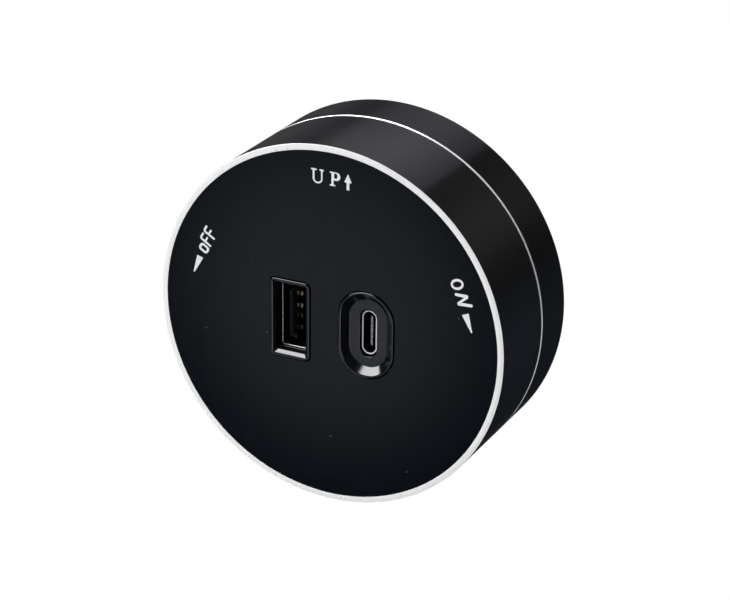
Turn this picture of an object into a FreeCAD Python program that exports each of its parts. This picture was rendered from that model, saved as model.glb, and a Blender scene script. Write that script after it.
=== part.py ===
import FreeCAD, Part
import math
import os
import re

import Sketcher
from FreeCAD import Vector

# Round socket module for a wall power track. X points right, Z points up and the face looks
# towards -Y. The origin is the centre of the rear seating face. Millimetres.

# Driving dimensions: name, value, what it is
SIZES = (
    ("outer_radius", 36.0, "outside of both sleeves"),
    ("body_depth", 28.8, "face to rear seating face"),
    ("sleeve_wall", 1.2, "wall of both sleeves"),
    ("lip_chamfer", 0.54, "bright front chamfer, radial"),
    ("lip_chamfer_depth", 0.35, "bright front chamfer, along the axis"),
    ("front_sleeve_length", 17.55, "front sleeve along the axis"),
    ("seam_gap", 0.12, "running gap between the sleeves"),
    ("seam_chamfer", 0.45, "bright chamfer of the rear sleeve, along the axis"),
    ("seam_chamfer_radial", 0.35, "bright chamfer of the rear sleeve, radial"),
    ("edge_break", 0.3, "broken rear edge of the rear sleeve"),
    ("panel_joint", 0.08, "joint between panel and sleeve"),
    ("panel_recess", 0.08, "panel below the sleeve's lip"),
    ("panel_thickness", 1.6, "glossy face panel"),
    ("fit_gap", 0.05, "gap of fixed pieces that sit in each other"),
    ("shell_wall", 1.8, "skirt of the front shell"),
    ("web_thickness", 1.8, "front wall of the front shell"),
    ("shell_setback", 0.15, "front shell's rear edge inside the seam"),
    ("usb_a_offset", 8.0, "A port, left of the axis"),
    ("usb_c_offset", 8.0, "C port, right of the axis"),
    ("bezel_proud", 0.15, "bezel rims above the sleeve's lip"),
    ("bezel_joint", 0.06, "joint around each bezel"),
    ("bezel_depth", 4.6, "bezel barrels behind the face"),
    ("bezel_edge", 0.12, "chamfer of the bezel rims"),
    ("bezel_flange_rim", 1.3, "bezel flange beyond its barrel"),
    ("bezel_flange_thickness", 0.8, "bezel flange behind the panel"),
    ("a_bezel_width", 8.3, "A bezel across"),
    ("a_bezel_height", 15.8, "A bezel up"),
    ("a_bezel_corner", 1.0, "A bezel corner radius"),
    ("a_bezel_rim", 0.45, "flat rim of the A bezel"),
    ("a_bevel", 0.35, "A bezel bevel, inwards"),
    ("a_bevel_depth", 0.9, "A bezel bevel, depth behind the face"),
    ("a_ledge_depth", 2.3, "ledge around the A shell, behind the face"),
    ("a_shell_recess", 2.2, "A shell's lip behind the face"),
    ("a_shell_width", 5.7, "A shell across, outside"),
    ("a_shell_height", 13.1, "A shell up, outside"),
    ("a_shell_corner", 0.55, "A shell corner radius"),
    ("port_shell_wall", 0.3, "sheet of both port shells"),
    ("port_shell_gap", 0.1, "gap around the A shell in its bezel"),
    ("a_tongue_recess", 2.6, "A tongue's front behind the face"),
    ("a_tongue_thickness", 1.84, "A tongue"),
    ("a_tongue_width", 11.1, "A tongue up"),
    ("a_tongue_gap", 0.7, "gap behind the A tongue"),
    ("a_block_length", 2.4, "A insulator block on the port board"),
    ("a_contact_start", 3.7, "A contacts' front behind the face"),
    ("a_contact_width", 1.0, "A contact strip"),
    ("a_contact_proud", 0.13, "A contact strip above the tongue"),
    ("a_contact_sunk", 0.12, "A contact strip's groove"),
    ("a_contact_inner", 1.0, "inner A contacts from the middle"),
    ("a_contact_outer", 3.5, "outer A contacts from the middle"),
    ("a_window_start", 3.0, "spring window from the A shell's lip"),
    ("a_window_length", 4.0, "spring window along the A shell"),
    ("a_window_width", 2.2, "spring window"),
    ("a_window_place", 3.2, "spring window from the middle"),
    ("c_bezel_width", 11.4, "C bezel across"),
    ("c_bezel_height", 17.2, "C bezel up"),
    ("c_bezel_rim", 0.4, "flat rim of the C bezel"),
    ("c_slope", 1.25, "C bezel slope, inwards"),
    ("c_floor_depth", 1.45, "C bezel floor behind the face"),
    ("c_shell_gap", 0.3, "gap around the C shell"),
    ("c_shell_recess", 1.6, "C shell's lip behind the face"),
    ("c_shell_width", 3.16, "C shell across, outside"),
    ("c_shell_height", 8.94, "C shell up, outside"),
    ("c_tongue_recess", 2.6, "C tongue's front behind the face"),
    ("c_tongue_thickness", 0.7, "C tongue"),
    ("c_tongue_width", 6.2, "C tongue up"),
    ("c_block_length", 3.0, "C insulator block on the port board"),
    ("c_contact_start", 3.2, "C contacts' front behind the face"),
    ("c_contact_length", 5.0, "C contact strip"),
    ("c_contact_pitch", 0.5, "C contact spacing"),
    ("c_contact_width", 0.26, "C contact strip"),
    ("c_contact_proud", 0.05, "C contact strip above the tongue"),
    ("port_board_depth", 13.2, "port board's front behind the face"),
    ("port_board_thickness", 1.0, "port board"),
    ("port_board_width", 40.0, "port board across"),
    ("port_board_inset", 15.3, "port board's upper and lower edges inside the main board's rim"),
    ("port_post_inset", 2.7, "port board posts from the port board's edges"),
    ("port_post_radius", 2.0, "port board post"),
    ("screw_radius", 0.95, "shank of every self-tapping screw"),
    ("screw_gap", 0.15, "clearance hole beyond a shank"),
    ("screw_bite", 4.5, "shank in its boss"),
    ("screw_head_radius", 1.7, "pan head of every self-tapping screw"),
    ("screw_head_height", 1.2, "pan head of every self-tapping screw"),
    ("boss_inset", 1.95, "cover screws inside the skirt's inner wall"),
    ("boss_angle", 30.0, "first cover screw, degrees from +X"),
    ("boss_radius", 2.1, "cover screw boss"),
    ("flange_thickness", 1.5, "rear cover's flange"),
    ("drum_gap", 0.2, "rear cover's drum from its screw heads"),
    ("drum_wall", 1.5, "rear cover's drum"),
    ("floor_thickness", 1.6, "rear cover's floor"),
    ("washer_gap", 0.6, "rear cover's floor from the base"),
    ("washer_play", 0.1, "friction washer's play"),
    ("washer_inner_play", 0.3, "friction washer around the spindle"),
    ("washer_width", 3.1, "friction washer's rim"),
    ("base_thickness", 2.6, "base disc"),
    ("base_wall", 1.7, "base skirt"),
    ("base_setback", 0.23, "base skirt's front edge inside the seam"),
    ("bore_radius", 10.0, "base bore"),
    ("running_gap", 0.05, "spindle in the base bore"),
    ("spindle_setback", 0.1, "spindle's end inside the seating face"),
    ("recess_radius", 12.0, "retaining ring's recess in the base"),
    ("recess_depth", 1.3, "retaining ring's recess in the base"),
    ("ring_play", 0.05, "retaining ring's play"),
    ("ring_thickness", 0.8, "retaining ring"),
    ("ring_groove_depth", 0.65, "spindle groove"),
    ("ring_reach", 1.4, "retaining ring beyond the spindle"),
    ("ring_split", 4.0, "retaining ring's opening"),
    ("twist_travel", 90.0, "OFF to ON, degrees"),
    ("stop_circle", 15.5, "stop pin from the axis"),
    ("stop_pin_radius", 1.5, "stop pin"),
    ("stop_play", 0.2, "stop slot beyond the pin"),
    ("stop_seat", 2.0, "stop pin in the base"),
    ("stop_tip_gap", 0.3, "stop pin's tip inside the rear cover's floor"),
    ("board_gap", 0.3, "main board in the drum"),
    ("board_thickness", 1.6, "main board"),
    ("post_height", 1.0, "main board posts"),
    ("post_radius", 2.4, "main board posts"),
    ("post_inset", 4.3, "main board posts inside the board's rim"),
    ("post_angle", 30.0, "first main board post, degrees from +X"),
    ("pin_width", 0.64, "board pins"),
    ("pin_pitch", 2.54, "board pin spacing"),
    ("pin_inset", 3.5, "board pins below the port board's upper edge"),
    ("pin_tail", 0.6, "board pins beyond each board"),
    ("pin_strip_height", 2.5, "plastic strip of the board pins"),
    ("tall_headroom", 3.0, "tall parts from the front shell's web"),
    ("core_inset", 8.1, "transformer's middle inside the main board's rim"),
    ("core_width", 17.6, "transformer core across"),
    ("core_depth", 7.6, "transformer core, up"),
    ("core_yoke", 2.6, "transformer core yokes and outer legs"),
    ("core_leg", 5.6, "transformer centre leg"),
    ("winding_margin", 1.9, "winding beyond the core, up and down"),
    ("bulk_radius", 4.4, "input capacitors"),
    ("bulk_x", 6.6, "input capacitors from the axis, across"),
    ("bulk_inset", 7.9, "input capacitors inside the main board's rim, up"),
    ("output_radius", 3.15, "output capacitors"),
    ("output_x", 12.6, "output capacitors right of the axis"),
    ("output_spacing", 7.2, "output capacitor spacing"),
    ("low_headroom", 1.8, "low parts from the port board"),
    ("choke_radius", 3.8, "input choke"),
    ("choke_core_radius", 2.2, "input choke's core"),
    ("choke_flange", 1.1, "input choke's flanges"),
    ("choke_inset", 16.8, "input choke inside the main board's rim, across"),
    ("choke_z", 5.4, "input choke below the axis"),
    ("bridge_width", 7.6, "bridge rectifier"),
    ("bridge_height", 2.4, "bridge rectifier above the board"),
    ("bridge_inset", 8.7, "bridge rectifier inside the main board's rim, across"),
    ("bridge_z", 3.0, "bridge rectifier above the axis"),
    ("fuse_radius", 1.8, "fuse"),
    ("fuse_length", 9.0, "fuse"),
    ("fuse_inset", 8.3, "fuse inside the main board's rim, across"),
    ("fuse_z", 4.6, "fuse below the axis"),
    ("chip_width", 5.0, "control chips"),
    ("chip_height", 1.5, "control chips above the board"),
    ("chip_spacing", 6.2, "control chip spacing"),
    ("chip_z", 7.0, "control chips below the axis"),
    ("neck_radius", 4.75, "contact head's neck"),
    ("neck_seat", 1.2, "neck in the spindle's end"),
    ("head_start", 2.3, "contact head's shoulders behind the base"),
    ("head_radius", 13.0, "contact head's rounded ends"),
    ("head_width", 9.4, "contact head across"),
    ("head_depth", 3.7, "contact head without its cap"),
    ("cap_thickness", 2.0, "contact head's cap"),
    ("cap_chamfer", 0.6, "cap's rear edge"),
    ("blade_place", 3.0, "contact blades from the axis"),
    ("blade_thickness", 0.8, "contact strip"),
    ("blade_width", 3.0, "contact strip"),
    ("blade_gap", 0.1, "contact strip in its channel"),
    ("blade_tail", 0.6, "blades beyond the main board"),
    ("pad_proud", 0.4, "contact pads beyond the head's ends"),
    ("pad_length", 2.8, "contact pads along the axis"),
    ("head_screw_place", 3.1, "head screws above and below the axis"),
    ("head_screw_bite", 3.6, "head screws in the neck"),
    ("cap_screw_x", 8.4, "cap screws from the axis, across"),
    ("cap_screw_z", 2.9, "cap screws from the axis, up"),
    ("lug_place", 25.0, "guide lugs from the axis"),
    ("lug_length", 8.0, "guide lugs along the track"),
    ("lug_width", 9.6, "guide lugs across the track's slot"),
    ("lug_height", 1.9, "guide lugs behind the base"),
    ("lug_corner", 1.2, "guide lug corner radius"),
    ("lug_chamfer", 0.4, "guide lug's rear edge"),
)

BOARD_PINS = 6
COVER_SCREWS = 3
C_CONTACTS = 12
NOT_SIZES = {"cos", "sin", "deg"}

doc = FreeCAD.newDocument("socket_module")
sheet = doc.addObject("Spreadsheet::Sheet", "Sizes")
for row, (name, value, note) in enumerate(SIZES, start=1):
    sheet.set("A%d" % row, name)
    sheet.set("B%d" % row, str(value))
    sheet.set("C%d" % row, note)
    sheet.setAlias("B%d" % row, name)
doc.recompute()

# Places along the axis, worked out from the sizes
FACE = "(0 - body_depth)"
PANEL_FRONT = f"({FACE} + panel_recess)"
PANEL_BACK = f"({PANEL_FRONT} + panel_thickness)"
WEB_BACK = f"({PANEL_BACK} + web_thickness)"
BEZEL_FRONT = f"({FACE} - bezel_proud)"
BEZEL_BACK = f"({FACE} + bezel_depth)"
PORT_BOARD_FRONT = f"({FACE} + port_board_depth)"
PORT_BOARD_BACK = f"({PORT_BOARD_FRONT} + port_board_thickness)"
SEAM_FRONT = f"({FACE} + front_sleeve_length)"
SEAM_BACK = f"({SEAM_FRONT} + seam_gap)"
SHELL_END = f"({SEAM_FRONT} - shell_setback)"
FLANGE_FRONT = f"({SHELL_END} - flange_thickness)"
BASE_FRONT = "(0 - base_thickness)"
FLOOR_BACK = f"({BASE_FRONT} - washer_gap)"
FLOOR_FRONT = f"({FLOOR_BACK} - floor_thickness)"
BOARD_BACK = f"({FLOOR_FRONT} - post_height)"
BOARD_FRONT = f"({BOARD_BACK} - board_thickness)"
TALL_TOP = f"({WEB_BACK} + tall_headroom)"
LOW_TOP = f"({PORT_BOARD_BACK} + low_headroom)"
RECESS_FLOOR = "(0 - recess_depth)"
RING_FRONT = f"({RECESS_FLOOR} + ring_play)"
RING_BACK = f"({RING_FRONT} + ring_thickness)"
SPINDLE_END = "(0 - spindle_setback)"
NECK_ROOT = f"({SPINDLE_END} - neck_seat)"
HEAD_BACK = "(head_start + head_depth)"
CHANNEL_FLOOR = f"({HEAD_BACK} - blade_thickness - blade_gap)"

# Radii, worked out from the sizes
SLEEVE_INNER = "(outer_radius - sleeve_wall)"
PANEL_RADIUS = f"({SLEEVE_INNER} - panel_joint)"
SHELL_RADIUS = f"({SLEEVE_INNER} - fit_gap)"
SHELL_INNER = f"({SHELL_RADIUS} - shell_wall)"
FLANGE_RADIUS = f"({SHELL_INNER} - fit_gap)"
SCREW_CIRCLE = f"({SHELL_INNER} - boss_inset)"
DRUM_RADIUS = f"({SCREW_CIRCLE} - screw_head_radius - drum_gap)"
DRUM_INNER = f"({DRUM_RADIUS} - drum_wall)"
BOARD_RADIUS = f"({DRUM_INNER} - board_gap)"
BASE_INNER = f"({SHELL_RADIUS} - base_wall)"
SPINDLE_RADIUS = "(bore_radius - running_gap)"
GROOVE_RADIUS = f"({SPINDLE_RADIUS} - ring_groove_depth)"
HOLE_RADIUS = "(screw_radius + screw_gap)"

# Places on the boards, worked out from the main board's rim
PORT_BOARD_HALF = f"({BOARD_RADIUS} - port_board_inset)"
PORT_POST_X = "(port_board_width / 2 - port_post_inset)"
PORT_POST_Z = f"({PORT_BOARD_HALF} - port_post_inset)"
PIN_Z = f"({PORT_BOARD_HALF} - pin_inset)"
POST_CIRCLE = f"({BOARD_RADIUS} - post_inset)"
CORE_Z = f"(core_inset - {BOARD_RADIUS})"
BULK_Z = f"({BOARD_RADIUS} - bulk_inset)"
CHOKE_X = f"(choke_inset - {BOARD_RADIUS})"
BRIDGE_X = f"(bridge_inset - {BOARD_RADIUS})"
FUSE_X = f"(fuse_inset - {BOARD_RADIUS})"

# Port places
A_X = "(0 - usb_a_offset)"
C_X = "usb_c_offset"
A_FRONT = f"({FACE} + a_shell_recess)"
A_BLOCK = f"({PORT_BOARD_FRONT} - a_block_length)"
A_CAVITY_LEFT = f"({A_X} - a_shell_width / 2 + port_shell_wall)"
A_TONGUE_X = f"({A_CAVITY_LEFT} + a_tongue_gap + a_tongue_thickness / 2)"
A_TONGUE_FACE = f"({A_TONGUE_X} + a_tongue_thickness / 2)"
A_STRIP = "(a_contact_proud + a_contact_sunk)"
A_STRIP_X = f"({A_TONGUE_FACE} + (a_contact_proud - a_contact_sunk) / 2)"
A_CONTACT_PLACES = ("a_contact_inner", "0 - a_contact_inner", "a_contact_outer", "0 - a_contact_outer")
C_BLOCK = f"({PORT_BOARD_FRONT} - c_block_length)"

pieces = []


def cells(text):
    """Point every size named in an expression at its cell."""
    return re.sub(r"[a-z][a-z0-9_]*", lambda word: word[0] if word[0] in NOT_SIZES else "Sizes." + word[0], text)


def amount(text):
    """Value of an expression with the sheet's present sizes."""
    return float(sheet.evalExpression(cells(text)))


def bind(thing, prop, text):
    thing.setExpression(prop, cells(text))


def piece(name):
    body = doc.addObject("PartDesign::Body", name)
    body.Label = name
    pieces.append(body)
    return body


def sketch_on(body, name, plane, offset=None):
    """Empty sketch on one of the body's own origin planes, moved along its normal by offset."""
    sketch = body.newObject("Sketcher::SketchObject", name + "_sketch")
    origin_plane = next(item for item in body.Origin.OriginFeatures if item.Role == plane)
    sketch.AttachmentSupport = [(origin_plane, "")]
    sketch.MapMode = "FlatFace"
    if offset:
        bind(sketch, "AttachmentOffset.Base.z", offset)
    return sketch


def fix(sketch, kind, where, text):
    index = sketch.addConstraint(Sketcher.Constraint(kind, *where, amount(text)))
    bind(sketch, "Constraints[%d]" % index, text)


def fix_point(sketch, shape, end, across, up):
    """Tie a point of the sketch to its place, or to the axis that it lies on."""
    for kind, axis, text in (("DistanceX", -2, across), ("DistanceY", -1, up)):
        if text == "0":
            sketch.addConstraint(Sketcher.Constraint("PointOnObject", shape, end, axis))
        else:
            fix(sketch, kind, (-1, 1, shape, end), text)


# Outlines: each returns a function that draws it in a sketch
def polygon(*corners):
    def draw(sketch):
        points = [Vector(amount(across), amount(up), 0) for across, up in corners]
        first = sketch.GeometryCount
        for start, end in zip(points, points[1:] + points[:1]):
            sketch.addGeometry(Part.LineSegment(start, end), False)
        for number, (across, up) in enumerate(corners):
            following = first + (number + 1) % len(corners)
            sketch.addConstraint(Sketcher.Constraint("Coincident", first + number, 2, following, 1))
            fix_point(sketch, first + number, 1, across, up)
    return draw


def box(across, up, width, height):
    left, right = f"({across}) - ({width}) / 2", f"({across}) + ({width}) / 2"
    low, high = f"({up}) - ({height}) / 2", f"({up}) + ({height}) / 2"
    return polygon((left, low), (right, low), (right, high), (left, high))


def circle(across, up, radius):
    def draw(sketch):
        centre = Vector(amount(across), amount(up), 0)
        ring = sketch.addGeometry(Part.Circle(centre, Vector(0, 0, 1), amount(radius)), False)
        fix_point(sketch, ring, 3, across, up)
        fix(sketch, "Radius", (ring,), radius)
    return draw


def arc(sketch, across, up, radius, first_degrees, last_degrees):
    ring = Part.Circle(Vector(amount(across), amount(up), 0), Vector(0, 0, 1), amount(radius))
    bend = Part.ArcOfCircle(ring, math.radians(first_degrees), math.radians(last_degrees))
    number = sketch.addGeometry(bend, False)
    fix_point(sketch, number, 3, across, up)
    fix(sketch, "Radius", (number,), radius)
    return number


def join_arcs(sketch, arcs, kind):
    """Close a row of arcs with a straight line from each arc's end to the next arc's start."""
    for number, following in zip(arcs, arcs[1:] + arcs[:1]):
        start = sketch.getPoint(number, 2)
        end = sketch.getPoint(following, 1)
        line = sketch.addGeometry(Part.LineSegment(start, end), False)
        sketch.addConstraint(Sketcher.Constraint(kind, number, 2, line, 1))
        sketch.addConstraint(Sketcher.Constraint(kind, line, 2, following, 1))


def rounded_box(across, up, width, height, corner):
    def draw(sketch):
        arcs = []
        for quarter, (side, level) in enumerate((("+", "+"), ("-", "+"), ("-", "-"), ("+", "-"))):
            centre = f"({across}) {side} (({width}) / 2 - ({corner}))"
            height_of_centre = f"({up}) {level} (({height}) / 2 - ({corner}))"
            arcs.append(arc(sketch, centre, height_of_centre, corner, 90 * quarter, 90 * quarter + 90))
        join_arcs(sketch, arcs, "Tangent")
    return draw


def racetrack(across, width, height):
    """Upright slot with round ends, level with the axis."""
    def draw(sketch):
        reach = f"(({height}) - ({width})) / 2"
        radius = f"({width}) / 2"
        top = arc(sketch, across, reach, radius, 0, 180)
        bottom = arc(sketch, across, f"0 - ({reach})", radius, 180, 360)
        join_arcs(sketch, [top, bottom], "Tangent")
    return draw


def key_outline(radius, width):
    """Level bar whose ends are rounded about the axis, so that it can turn in a track."""
    def draw(sketch):
        half = math.degrees(math.asin(amount(width) / 2 / amount(radius)))
        arcs = [arc(sketch, "0", "0", radius, -half, half), arc(sketch, "0", "0", radius, 180 - half, 180 + half)]
        join_arcs(sketch, arcs, "Coincident")
        for number, start in ((arcs[0], "0 - ({}) / 2"), (arcs[1], "({}) / 2")):
            end = "({}) / 2" if number == arcs[0] else "0 - ({}) / 2"
            fix(sketch, "DistanceY", (-1, 1, number, 1), start.format(width))
            fix(sketch, "DistanceY", (-1, 1, number, 2), end.format(width))
    return draw


def around(count, radius, first="0", total="360"):
    """Places evenly round the axis, from the angle first."""
    places = []
    for number in range(count):
        angle = f"(({first}) + {number} * ({total}) / {count}) * 1deg"
        places.append((f"({radius}) * cos({angle})", f"({radius}) * sin({angle})"))
    return places


# Features: along the axis unless the plane says otherwise
def feature(body, kind, name, sketch):
    made = body.newObject("PartDesign::" + kind, name)
    made.Profile = sketch
    return made


def face_sketch(body, name, level, outlines):
    """Sketch square to the axis at a level along it, seen from the face."""
    sketch = sketch_on(body, name, "XZ_Plane", f"0 - ({level})")
    for outline in outlines:
        outline(sketch)
    return sketch


def pad(body, name, start, end, *outlines):
    made = feature(body, "Pad", name, face_sketch(body, name, start, outlines))
    made.Reversed = True
    bind(made, "Length", f"({end}) - ({start})")
    return made


def pocket(body, name, start, end, *outlines):
    made = feature(body, "Pocket", name, face_sketch(body, name, start, outlines))
    bind(made, "Length", f"({end}) - ({start})")
    return made


def funnel(body, name, start, end, wide, narrow):
    """Tapered cut between two outlines."""
    made = feature(body, "SubtractiveLoft", name, face_sketch(body, name + "_wide", start, [wide]))
    made.Sections = [face_sketch(body, name + "_narrow", end, [narrow])]
    made.Ruled = True
    return made


def turned(body, name, *corners):
    """Full revolution about the axis of corners given as radius and place along the axis."""
    sketch = sketch_on(body, name, "XY_Plane")
    polygon(*corners)(sketch)
    made = feature(body, "Revolution", name, sketch)
    made.ReferenceAxis = (sketch, ["V_Axis"])
    return made


def side_pad(body, name, plane, middle, width, *outlines, kind="Pad"):
    """Pad or pocket square to X or Z, centred on middle."""
    sketch = sketch_on(body, name, plane, middle)
    for outline in outlines:
        outline(sketch)
    made = feature(body, kind, name, sketch)
    made.Midplane = True
    bind(made, "Length", width)
    return made


def edge_names(body, wanted):
    """Names of the body's edges that lie whole at one level along the axis."""
    names = []
    for number, edge in enumerate(body.Shape.Edges, start=1):
        box_of_edge = edge.BoundBox
        if abs(box_of_edge.YMin - wanted) < 1e-5 and abs(box_of_edge.YMax - wanted) < 1e-5:
            names.append("Edge%d" % number)
    return names


def dress_edges(body, kind, prop, level, size):
    """Fillet or chamfer every edge of the body at one level along the axis."""
    doc.recompute()
    tip = body.Tip
    made = body.newObject("PartDesign::" + kind, kind.lower())
    made.Base = (tip, edge_names(body, amount(level)))
    bind(made, prop, size)
    return made


def screws(name, places, seat, bite, head_side):
    """Pan-head screws along the axis: head_side is 1 for heads behind the seat, -1 in front."""
    body = piece(name)
    head = f"({seat}) + screw_head_height" if head_side > 0 else f"({seat}) - screw_head_height"
    tip = f"({seat}) - ({bite})" if head_side > 0 else f"({seat}) + ({bite})"
    low, high = (seat, head) if head_side > 0 else (head, seat)
    pad(body, name + "_heads", low, high, *[circle(x, z, "screw_head_radius") for x, z in places])
    low, high = (tip, seat) if head_side > 0 else (seat, tip)
    pad(body, name + "_shanks", low, high, *[circle(x, z, "screw_radius") for x, z in places])
    return body


def holes(body, name, start, end, places, radius):
    return pocket(body, name, start, end, *[circle(x, z, radius) for x, z in places])


# Outlines that several pieces share
def a_bezel_outline(extra):
    return rounded_box(A_X, "0", f"a_bezel_width + 2 * ({extra})", f"a_bezel_height + 2 * ({extra})",
                       f"a_bezel_corner + ({extra})")


def a_well_outline(inset):
    corner = "a_bezel_corner / 2"
    return rounded_box(A_X, "0", f"a_bezel_width - 2 * ({inset})", f"a_bezel_height - 2 * ({inset})", corner)


def a_shell_outline(extra):
    return rounded_box(A_X, "0", f"a_shell_width + 2 * ({extra})", f"a_shell_height + 2 * ({extra})",
                       f"a_shell_corner + ({extra})")


def c_bezel_outline(extra):
    return racetrack(C_X, f"c_bezel_width + 2 * ({extra})", f"c_bezel_height + 2 * ({extra})")


def c_shell_outline(extra):
    return racetrack(C_X, f"c_shell_width + 2 * ({extra})", f"c_shell_height + 2 * ({extra})")


def corners(across, up):
    """Four places mirrored about both axes, the first and last diagonally opposite."""
    return [(f"{side} * {across}", f"{level} * {up}") for side in (1, -1) for level in (1, -1)]


COVER_SCREW_PLACES = around(COVER_SCREWS, SCREW_CIRCLE, first="boss_angle")
POST_PLACES = corners(f"{POST_CIRCLE} * cos(post_angle * 1deg)", f"{POST_CIRCLE} * sin(post_angle * 1deg)")
BOARD_SCREW_PLACES = [POST_PLACES[0], POST_PLACES[-1]]
PORT_POST_PLACES = corners(PORT_POST_X, PORT_POST_Z)
PORT_SCREW_PLACES = [PORT_POST_PLACES[0], PORT_POST_PLACES[-1]]
PIN_PLACES = [(f"{number - (BOARD_PINS - 1) / 2} * pin_pitch", PIN_Z) for number in range(BOARD_PINS)]
HEAD_SCREW_PLACES = [("0", "head_screw_place"), ("0", "0 - head_screw_place")]
CAP_SCREW_PLACES = [("cap_screw_x", "0 - cap_screw_z"), ("0 - cap_screw_x", "cap_screw_z")]
BLADE_SLOTS = [box(f"{side} * blade_place", "0", "blade_thickness + 2 * blade_gap", "blade_width + 2 * blade_gap")
               for side in (1, -1)]


# Housing
def front_sleeve():
    turned(piece("front_sleeve"), "tube",
           (SLEEVE_INNER, FACE), ("outer_radius - lip_chamfer", FACE),
           ("outer_radius", f"{FACE} + lip_chamfer_depth"), ("outer_radius", SEAM_FRONT), (SLEEVE_INNER, SEAM_FRONT))


def rear_sleeve():
    turned(piece("rear_sleeve"), "tube",
           (SLEEVE_INNER, SEAM_BACK), ("outer_radius - seam_chamfer_radial", SEAM_BACK),
           ("outer_radius", f"{SEAM_BACK} + seam_chamfer"), ("outer_radius", "0 - edge_break"),
           ("outer_radius - edge_break", "0"), (SLEEVE_INNER, "0"))


def face_panel():
    body = piece("face_panel")
    pad(body, "disc", PANEL_FRONT, PANEL_BACK, circle("0", "0", PANEL_RADIUS))
    pocket(body, "port_openings", PANEL_FRONT, PANEL_BACK, a_bezel_outline("bezel_joint"),
           c_bezel_outline("bezel_joint"))


def front_shell():
    body = piece("front_shell")
    turned(body, "cup", ("0", PANEL_BACK), (SHELL_RADIUS, PANEL_BACK), (SHELL_RADIUS, SHELL_END),
           (SHELL_INNER, SHELL_END), (SHELL_INNER, WEB_BACK), ("0", WEB_BACK))
    pad(body, "cover_bosses", WEB_BACK, FLANGE_FRONT,
        *[circle(x, z, "boss_radius") for x, z in COVER_SCREW_PLACES])
    pad(body, "port_posts", WEB_BACK, PORT_BOARD_FRONT,
        *[circle(x, z, "port_post_radius") for x, z in PORT_POST_PLACES])
    pocket(body, "bezel_openings", PANEL_BACK, WEB_BACK, a_bezel_outline("bezel_joint"),
           c_bezel_outline("bezel_joint"))
    rim = "bezel_flange_rim + bezel_joint"
    pocket(body, "flange_seats", PANEL_BACK, f"{PANEL_BACK} + bezel_flange_thickness + fit_gap",
           a_bezel_outline(rim), c_bezel_outline(rim))
    holes(body, "cover_pilots", f"{FLANGE_FRONT} - screw_bite - fit_gap", FLANGE_FRONT,
          COVER_SCREW_PLACES, "screw_radius + fit_gap")
    holes(body, "port_pilots", f"{PORT_BOARD_FRONT} - screw_bite - fit_gap", PORT_BOARD_FRONT,
          PORT_SCREW_PLACES, "screw_radius + fit_gap")


def base_cup():
    body = piece("base_cup")
    turned(body, "cup", ("bore_radius", BASE_FRONT), (BASE_INNER, BASE_FRONT),
           (BASE_INNER, f"{SEAM_BACK} + base_setback"), (SHELL_RADIUS, f"{SEAM_BACK} + base_setback"),
           (SHELL_RADIUS, "0"), ("recess_radius", "0"), ("recess_radius", RECESS_FLOOR),
           ("bore_radius", RECESS_FLOOR))
    pad(body, "guide_lugs", "0", "lug_height",
        *[rounded_box(f"{side} * lug_place", "0", "lug_length", "lug_width", "lug_corner") for side in (1, -1)])
    pocket(body, "stop_pin_hole", BASE_FRONT, f"{BASE_FRONT} + stop_seat", stop_circle("fit_gap / 2"))
    dress_edges(body, "Chamfer", "Size", "lug_height", "lug_chamfer")


def stop_circle(extra):
    """Stop pin's circle, half the travel to the right of the top."""
    angle = "((90 - twist_travel / 2) * 1deg)"
    return circle(f"stop_circle * cos{angle}", f"stop_circle * sin{angle}", f"stop_pin_radius + {extra}")


def stop_pin():
    pad(piece("stop_pin"), "dowel", f"{FLOOR_FRONT} + stop_tip_gap", f"{BASE_FRONT} + stop_seat", stop_circle("0"))


def friction_washer():
    body = piece("friction_washer")
    inner = "bore_radius + washer_inner_play"
    front = f"{FLOOR_BACK} + washer_play"
    pad(body, "ring", front, BASE_FRONT, circle("0", "0", f"{inner} + washer_width"), circle("0", "0", inner))


# Rear cover, spindle and the ring that holds the base on
def rear_cover():
    body = piece("rear_cover")
    turned(body, "drum", ("0", FLOOR_FRONT), (DRUM_INNER, FLOOR_FRONT), (DRUM_INNER, FLANGE_FRONT),
           (FLANGE_RADIUS, FLANGE_FRONT), (FLANGE_RADIUS, SHELL_END), (DRUM_RADIUS, SHELL_END),
           (DRUM_RADIUS, FLOOR_BACK), (SPINDLE_RADIUS, FLOOR_BACK), (SPINDLE_RADIUS, RING_FRONT),
           (GROOVE_RADIUS, RING_FRONT), (GROOVE_RADIUS, RING_BACK), (SPINDLE_RADIUS, RING_BACK),
           (SPINDLE_RADIUS, SPINDLE_END), ("0", SPINDLE_END))
    pad(body, "board_posts", BOARD_BACK, FLOOR_FRONT, *[circle(x, z, "post_radius") for x, z in POST_PLACES])
    holes(body, "board_pilots", BOARD_BACK, f"{FLOOR_BACK} - fit_gap", BOARD_SCREW_PLACES,
          "screw_radius + fit_gap")
    holes(body, "cover_screw_holes", FLANGE_FRONT, SHELL_END, COVER_SCREW_PLACES, HOLE_RADIUS)
    stop_slot(body)
    pocket(body, "neck_seat", NECK_ROOT, SPINDLE_END, circle("0", "0", "neck_radius + fit_gap"))
    pocket(body, "blade_slots", FLOOR_FRONT, NECK_ROOT, *BLADE_SLOTS)
    holes(body, "head_screw_seats", FLOOR_FRONT, f"{FLOOR_FRONT} + screw_head_height + fit_gap",
          HEAD_SCREW_PLACES, "screw_head_radius + fit_gap")
    holes(body, "head_screw_holes", FLOOR_FRONT, NECK_ROOT, HEAD_SCREW_PLACES, HOLE_RADIUS)


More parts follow.
